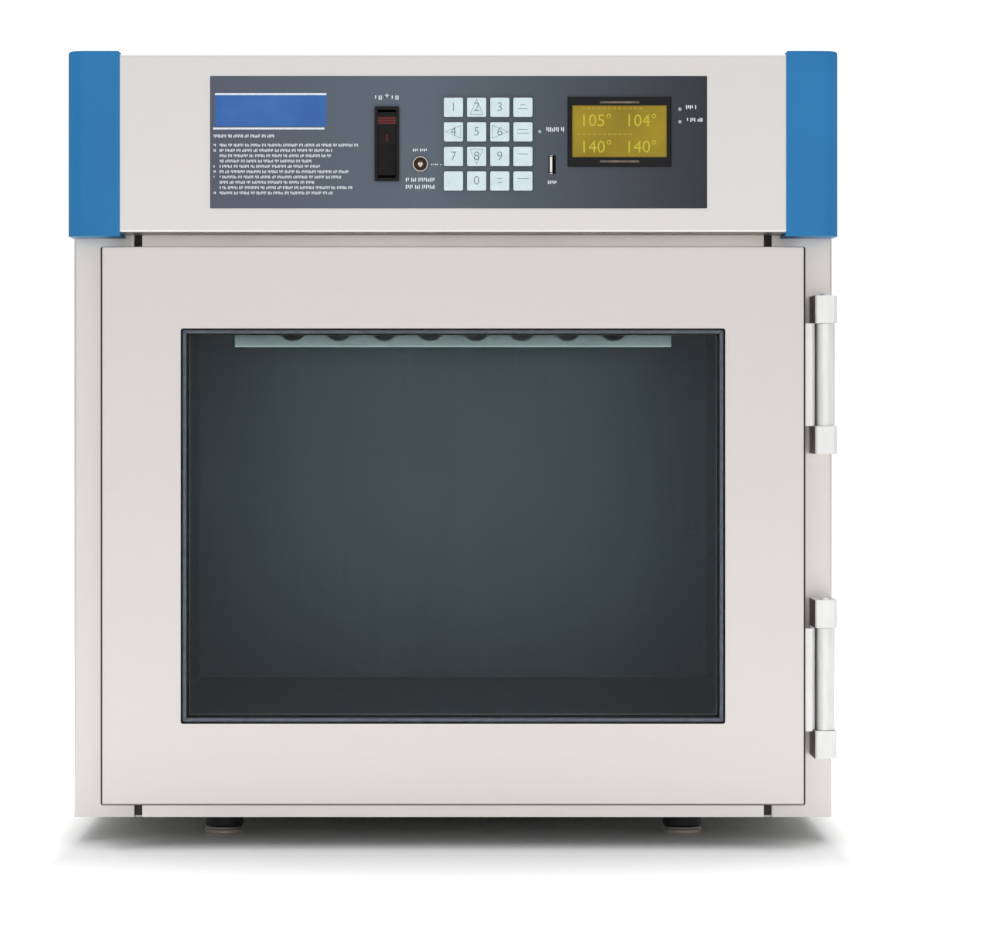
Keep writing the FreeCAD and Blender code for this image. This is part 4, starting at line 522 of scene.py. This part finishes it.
label_pen, switch_pen = 0.8, 0.85
switch_words = (  # left end, middle height, length and height of strokes
    (-61.6, 594.6, 6.2, 3.4), (-48.4, 594.6, 6.2, 3.4),
)
labels = (
    (-31.6, 553.1, 12, 2), (-37.2, 529.7, 24, 3.2), (-37.2, 524, 24, 3.2), (-17.2, 541.7, 8.6, 1),
    (73.8, 569.4, 14.6, 3.6), (75, 527.6, 7.8, 2.6), (184.2, 587, 9.2, 3), (185, 577, 12.9, 3),
)
for rows, pen in ((switch_words, switch_pen), (labels, label_pen)):
    for left, middle, length, height in rows:
        marks += stroke_row(left, middle, length, height, pen)
print_mesh("overlay_print", marks, overlay_front, "cabinet", ink)


# Name plate: a plain blue field, left bare, with a white line above and below it.

plate_blue = Finish("plate_blue", Roughness=0.4)
plate_blue.set(Base_Color=plate_blue.two_tone(plate_blue.noise(40, 2), (30, 86, 156), (40, 98, 170)))
plate_left, plate_foot, plate_width, plate_height = -188.1 * mm, 571.8 * mm, 88 * mm, 24.8 * mm
line_height = 1.5 * mm
line_corners = ((plate_left, 596.6 * mm), (plate_left - 1.6 * mm, 569.4 * mm))
print_mesh("plate_face", [bar(plate_left, plate_foot, plate_width, plate_height)],
           overlay_front, "cabinet", plate_blue)
print_mesh("plate_lines", [bar(x, z, plate_width, line_height) for x, z in line_corners],
           overlay_front, "cabinet", ink)


# Keypad: a slate moulded block behind the film with sixteen square ice-white keys. Each key
# carries its own printed legend: numbers, four pointers round the middle, and plain lines for
# functions.

keypad_plastic = Finish("keypad_plastic", Roughness=0.45)
keypad_cloud = keypad_plastic.noise(300, 2)
keypad_plastic.set(Base_Color=keypad_plastic.two_tone(keypad_cloud, (78, 84, 92), (88, 94, 102)),
                   Normal=keypad_plastic.bump(keypad_plastic.noise(1400, 2), 0.08, 0.05 * mm))
coat(keypad_plastic, "keypad_body")

key_plastic = Finish("key_plastic", Coat_Roughness=0.25)
key_cloud = key_plastic.noise(130, 3)
key_plastic.set(Base_Color=key_plastic.two_tone(key_cloud, (196, 214, 218), (208, 224, 228)),
                Roughness=key_cloud * 0.12 + 0.3)
legend_ink = Finish("legend_ink", Roughness=0.55)
legend_ink.set(Base_Color=legend_ink.two_tone(legend_ink.noise(900, 2), (92, 110, 112), (112, 128, 130)))
digits = {
    "key_1_1": "1", "key_1_2": "2", "key_1_3": "3",
    "key_2_1": "4", "key_2_2": "5", "key_2_3": "6",
    "key_3_1": "7", "key_3_2": "8", "key_3_3": "9", "key_4_2": "0",
}
pointers = {"key_1_2": 90, "key_2_1": 180, "key_2_3": 0, "key_3_2": 270}
functions = {  # the lengths of the lines, in millimetres
    "key_1_4": (4, 7), "key_2_4": (8, 9), "key_3_4": (8,), "key_4_4": (9,), "key_4_3": (4, 3)}
pointer_corners = ((6.4, 0), (7.6, 2.42), (7.6, -2.42))  # millimetres out, and radians round
digit_size, digit_thin, pointer_pen = 10 * mm, 0.12 * mm, 0.3 * mm
line_top, line_pitch, line_pen = 1.6 * mm, 3 * mm, 0.5 * mm


def print_number(name, text, size, middle, depth, body, finish, thin=0):
    """Prints a number round a point of a face towards the viewer, as a thin flat mesh."""
    curve = bpy.data.curves.new(name, "FONT")
    curve.body, curve.size = text, size
    curve.align_x, curve.align_y = "CENTER", "CENTER"
    curve.extrude = depth / 2
    curve.resolution_u = 4
    curve.offset = -thin
    holder = bpy.data.objects.new(name, curve)
    mesh = bpy.data.meshes.new_from_object(holder)
    bpy.data.objects.remove(holder)
    x, front, z = middle
    for vertex in mesh.vertices:
        across, up, out = vertex.co
        vertex.co = (x + across, front - depth / 2 - out, z + up)
    mesh.name = name
    add_print(name, mesh, body, finish)


for name in sorted(node for node in nodes if node.startswith("key_")):
    coat(key_plastic, name)
    low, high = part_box(name)
    x, z = (low.x + high.x) / 2, (low.z + high.z) / 2
    body = f"{name}_cap"
    if name in digits:
        print_number(f"{name}_number", digits[name], digit_size, (x, low.y, z), ink_depth, body,
                     legend_ink, digit_thin)
    if name in pointers:
        turn = math.radians(pointers[name])
        tips = [(x + out * mm * math.cos(turn + swing), z + out * mm * math.sin(turn + swing))
                for out, swing in pointer_corners]
        lines = [stroke(a, b, pointer_pen) for a, b in zip(tips, tips[1:] + tips[:1])]
        print_mesh(f"{name}_pointer", lines, low.y, body, legend_ink)
    if name in functions:
        lines = [bar(x - length * mm / 2, z + line_top - line_pitch * row, length * mm, line_pen)
                 for row, length in enumerate(functions[name])]
        print_mesh(f"{name}_lines", lines, low.y, body, legend_ink)


# Display: black moulded frame round an amber screen that shows four plain temperatures in two
# rows, with faint dashes over each row. Two dull strips mark the frame above and below.

black_plastic = Finish("black_plastic", Specular_IOR_Level=0.22)
moulded = black_plastic.noise(700, 2)
black_plastic.set(Base_Color=black_plastic.two_tone(moulded, (12, 12, 14), (19, 18, 20)),
                  Roughness=moulded * 0.15 + 0.32, Normal=black_plastic.bump(moulded, 0.08, 0.05 * mm))
coat(black_plastic, "display_bezel", "rocker_housing", "power_inlet")

amber = Finish("amber_screen", Roughness=0.3, Specular_IOR_Level=0.3)
glow = amber.noise(24, 2)
amber.set(Base_Color=amber.two_tone(glow, (116, 99, 12), (134, 114, 18)),
          Emission_Color=amber.two_tone(glow, (114, 96, 10), (134, 114, 18)),
          Emission_Strength=0.42)
coat(amber, "display_screen")

lit = Finish("lit_segments", Roughness=0.4, Emission_Strength=0.3)
lit_glow = lit.two_tone(lit.noise(300, 2), (158, 146, 26), (172, 160, 36))
lit.set(Base_Color=lit_glow, Emission_Color=lit_glow)
faint = Finish("faint_segments", Roughness=0.4, Emission_Strength=0.3)
faint_glow = faint.two_tone(faint.noise(300, 2), (140, 122, 28), (150, 132, 38))
faint.set(Base_Color=faint_glow, Emission_Color=faint_glow)
screen_low, screen_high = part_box("display_screen")
screen_width, screen_height = screen_high.x - screen_low.x, screen_high.z - screen_low.z
reading_size, reading_depth = 13.5 * mm, 0.12 * mm
readings = (  # name, number, and its place as shares of the screen's width and height
    ("readout_1", "105°", 0.25, 0.7), ("readout_2", "104°", 0.73, 0.7),
    ("readout_3", "140°", 0.25, 0.19), ("readout_4", "140°", 0.73, 0.19),
)
for name, text, share_x, share_z in readings:
    middle = (screen_low.x + share_x * screen_width, screen_low.y,
              screen_low.z + share_z * screen_height)
    print_number(name, text, reading_size, middle, reading_depth, "cabinet", lit)
dash_step, dash_share, dash_pen = 0.055, 0.035, 1.2 * mm
dash_rows = ((0.93, 0.1, 0.72), (0.43, 0.05, 0.62))  # height, start and end, as shares
rules = []
for share_z, start, end in dash_rows:
    dash = start
    while dash < end:
        rules.append(bar(screen_low.x + dash * screen_width, screen_low.z + share_z * screen_height,
                         dash_share * screen_width, dash_pen))
        dash += dash_step
print_mesh("readout_rules", rules, screen_low.y, "cabinet", faint)
bezel_low, bezel_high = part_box("display_bezel")
strip_lead, strip_width, strip_pen = 25.5 * mm, 31 * mm, 1.6 * mm
strips = [bar(bezel_low.x + strip_lead, z, strip_width, strip_pen)
          for z in (bezel_high.z - 5.2 * mm, bezel_low.z + 3.4 * mm)]
strip_print = Finish("strip_print", Roughness=0.5)
strip_print.set(Base_Color=strip_print.two_tone(strip_print.noise(200, 2), (82, 73, 66), (108, 98, 88)))
print_mesh("bezel_strips", strips, bezel_low.y, "cabinet", strip_print)


# Power switch: smooth black moulded paddle, with a ribbed red lamp window near its upper end
# and a dull red mark below that.

paddle_plastic = Finish("paddle_plastic", Specular_IOR_Level=0.16)
smear = paddle_plastic.noise(50, 3)
paddle_plastic.set(Base_Color=paddle_plastic.two_tone(smear, (17, 14, 15), (25, 21, 21)),
                   Roughness=smear * 0.2 + 0.2)
coat(paddle_plastic, "rocker_paddle")

red_lens = Finish("red_lens", Roughness=0.3, Specular_IOR_Level=0.3, Emission_Strength=0.2)
ribs = red_lens.node("ShaderNodeTexWave", {"bands_direction": "Z"},
                     {"Vector": red_lens.place(), "Scale": 160})
red_lens.set(Base_Color=red_lens.two_tone(ribs, (44, 14, 14), (92, 24, 20)),
             Emission_Color=red_lens.two_tone(ribs, (30, 6, 6), (110, 30, 24)))
dull_red = Finish("dull_red", Roughness=0.5, Specular_IOR_Level=0.2)
dull_red.set(Base_Color=dull_red.two_tone(dull_red.noise(300, 2), (66, 22, 22), (84, 30, 30)))
paddle_low, paddle_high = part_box("rocker_paddle")
paddle_x = (paddle_low.x + paddle_high.x) / 2
paddle_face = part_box("rocker_housing")[0].y + 1.2 * mm
window_foot, window_width, window_height, window_depth = 573.6 * mm, 14.8 * mm, 6 * mm, 0.35 * mm
mark_foot, mark_width, mark_height = 560 * mm, 1.6 * mm, 5.4 * mm
print_mesh("power_lamp", [bar(paddle_x - window_width / 2, window_foot, window_width, window_height)],
           paddle_face, "power_rocker", red_lens, window_depth)
print_mesh("on_mark", [bar(paddle_x - mark_width / 2, mark_foot, mark_width, mark_height)],
           paddle_face, "power_rocker", dull_red)


# Key lock: a bright ring, a dark annulus and a bright middle round the keyway, all on the lock's
# own axis. The dark annulus is painted shade, for the recessed barrel face and the gap round it.

lock_low, lock_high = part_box("lock_body")
lock_metal = Finish("lock_metal", Metallic=1.0)
lock_axis = ((lock_low.x + lock_high.x) / 2, 0, (lock_low.z + lock_high.z) / 2)
from_axis = lock_metal.node("ShaderNodeVectorMath", {"operation": "SUBTRACT"},
                            {0: lock_metal.place((1, 0, 1)), 1: lock_axis})
off_axis = lock_metal.node("ShaderNodeVectorMath", {"operation": "LENGTH"}, {0: from_axis}, output=1)
centimetres = off_axis * 100
# Painted shade: the dark annulus, 2 to 5.2 mm off the axis, is the recessed barrel and its gap.
lock_metal.set(
    Base_Color=lock_metal.ramp(
        centimetres, (0.16, colour(222, 208, 196)), (0.2, colour(66, 52, 44)),
        (0.52, colour(52, 42, 38)), (0.56, colour(226, 208, 194))),
    Roughness=lock_metal.noise(160, 3) * 0.14 + 0.14,
)
coat(lock_metal, "lock_body", "lock_barrel")


# Data port and indicator lamps. The port's shell is painted dark, painted shade for the inside of
# the slot. A band over the contact tongue, left of the middle, is painted near-white: the tongue's
# own colour and a painted highlight. The lamps are small pale clear domes.

port_low, port_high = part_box("usb_port")
port_metal = Finish("port_shell", Metallic=0.9)
port_side = port_metal.along(0)
port_middle = (port_low.x + port_high.x) / 2
tongue_highlight_left, tongue_highlight_right = port_middle - 1.9 * mm, port_middle + 0.3 * mm
tongue_and_highlight = (port_side > tongue_highlight_left) * (port_side < tongue_highlight_right)
port_wear = port_metal.noise(300, 2)
# Painted shade: the dark shell; the near-white band is the tongue's colour and a painted highlight.
port_metal.set(
    Base_Color=port_metal.blend(tongue_and_highlight, colour(30, 29, 30), colour(232, 230, 228)),
    Roughness=port_wear * 0.2 + 0.2,
)
coat(port_metal, "usb_port")

lamp_lens = Finish("lamp_lens", Coat_Weight=0.6, Coat_Roughness=0.08)
lamp_lens.set(Base_Color=lamp_lens.two_tone(lamp_lens.noise(500, 2), (146, 158, 166), (178, 188, 194)),
              Roughness=0.2)
coat(lamp_lens, "indicator_leds")


# Control board: green laminate with dark parts, and pillars to the front panel. Hidden.

board = Finish("board_green", Roughness=0.4, Coat_Weight=0.4)
tracks = board.node("ShaderNodeTexVoronoi", {"feature": "DISTANCE_TO_EDGE"},
                    {"Vector": board.place(), "Scale": 120})
board.set(Base_Color=board.ramp(tracks, (0.02, colour(60, 150, 90)), (0.08, colour(18, 92, 48))))
coat(board, "control_board")


# Door: outer skin and the inner pan that closes it, of the same satin sheet as the hood. The
# rounded edges at its sides and foot are painted dark, painted shade and reflection that draw a
# dark line round the door.

coat(satin_across, "door_inner_pan")
door_sheet = sheet_steel("door_sheet", "x", colour(216, 211, 207))
foot_share = -0.42  # how much of the downward lean counts
steepest = door_sheet.highest(abs(door_sheet.faces(0)), door_sheet.faces(2) * foot_share)
# Painted shade and reflection: rounded edges darken by how steeply they face sideways or down.
painted_edge_shade = door_sheet.grey_ramp(steepest, (0.08, 0), (0.34, 1), (0.93, 1), (0.985, 0))
door_sheet.set(Base_Color=door_sheet.blend(painted_edge_shade, door_sheet.tone, colour(66, 62, 60)))
coat(door_sheet, "door_skin")


# Glazing: two panes of grey glass with an aluminium spacer bar between them, mitred at the
# corners and bedded in dark sealant, on a black gasket. Lamps shine through the panes.

glass_tint = colour(226, 232, 231)
glass = Finish("tinted_glass", Base_Color=glass_tint, Roughness=0.0, IOR=1.16, Transmission_Weight=1.0)
lamp_ray = glass.node("ShaderNodeLightPath", output=1)
open_pane = glass.node("ShaderNodeBsdfTransparent", None, {"Color": glass_tint})
solid_pane = Wire(glass, glass.shader.outputs[0])
pane = glass.node("ShaderNodeMixShader", None, {0: lamp_ray, 1: solid_pane, 2: open_pane})
glass.feed(glass.output.inputs["Surface"], pane)
coat(glass, "glass_panes")

spacer = Finish("spacer_bar", Metallic=0.8)
window_sides = ((0, 0, 215.4 * mm), (2, 255.8 * mm, 156.4 * mm))  # axis, middle and half of the size
beside, above = (abs(spacer.along(axis) - middle) - half for axis, middle, half in window_sides)
rim, mitre = -1.5 * mm, 0.3 * mm
dark = spacer.highest(spacer.highest(beside, above) > rim, abs(beside - above) < mitre)
spacer_grain = spacer.noise(40, 2, (4, 4, 4))
spacer_tone = spacer.two_tone(spacer_grain, (108, 108, 122), (128, 128, 140))
spacer.set(Base_Color=spacer.blend(dark, spacer_tone, colour(36, 36, 42)),
           Roughness=spacer_grain * 0.15 + 0.3)
coat(spacer, "glass_spacer")

rubber = Finish("black_rubber")
bloom = rubber.noise(60, 4)
rubber.set(Base_Color=rubber.two_tone(bloom, (20, 20, 21), (32, 32, 33)),
           Roughness=bloom * 0.2 + 0.55)
coat(rubber, "window_gasket")


# Door seal: grey magnetic gasket round the back of the door.

seal = Finish("seal_rubber")
seal_dust = seal.noise(45, 4)
seal.set(Base_Color=seal.two_tone(seal_dust, (74, 75, 78), (92, 93, 96)),
         Roughness=seal_dust * 0.15 + 0.6)
coat(seal, "door_gasket")


# Hinges: cast and polished frame blocks, long door knuckles and their pins. Nearly white from
# the front, with painted shade where the metal turns towards the door, for the shadowed gap there.

hinge_metal = Finish("hinge_metal", Metallic=0.55)
buff = hinge_metal.noise(30, 3, (6, 6, 1))
to_door = hinge_metal.faces(0) * -1
hinge_tone = hinge_metal.two_tone(buff, (226, 226, 225), (238, 238, 237))
# Painted shade on the faces that turn towards the door.
hinge_metal.set(
    Base_Color=hinge_metal.blend(hinge_metal.grey_ramp(to_door, (0.7, 0), (0.92, 1)),
                                 hinge_tone, colour(96, 90, 88)),
    Roughness=buff * 0.15 + 0.34,
    Normal=hinge_metal.bump(buff, 0.04, 0.2 * mm),
)
coat(hinge_metal, "hinge_frame_leaves", "hinge_door_leaves", "hinge_pins")
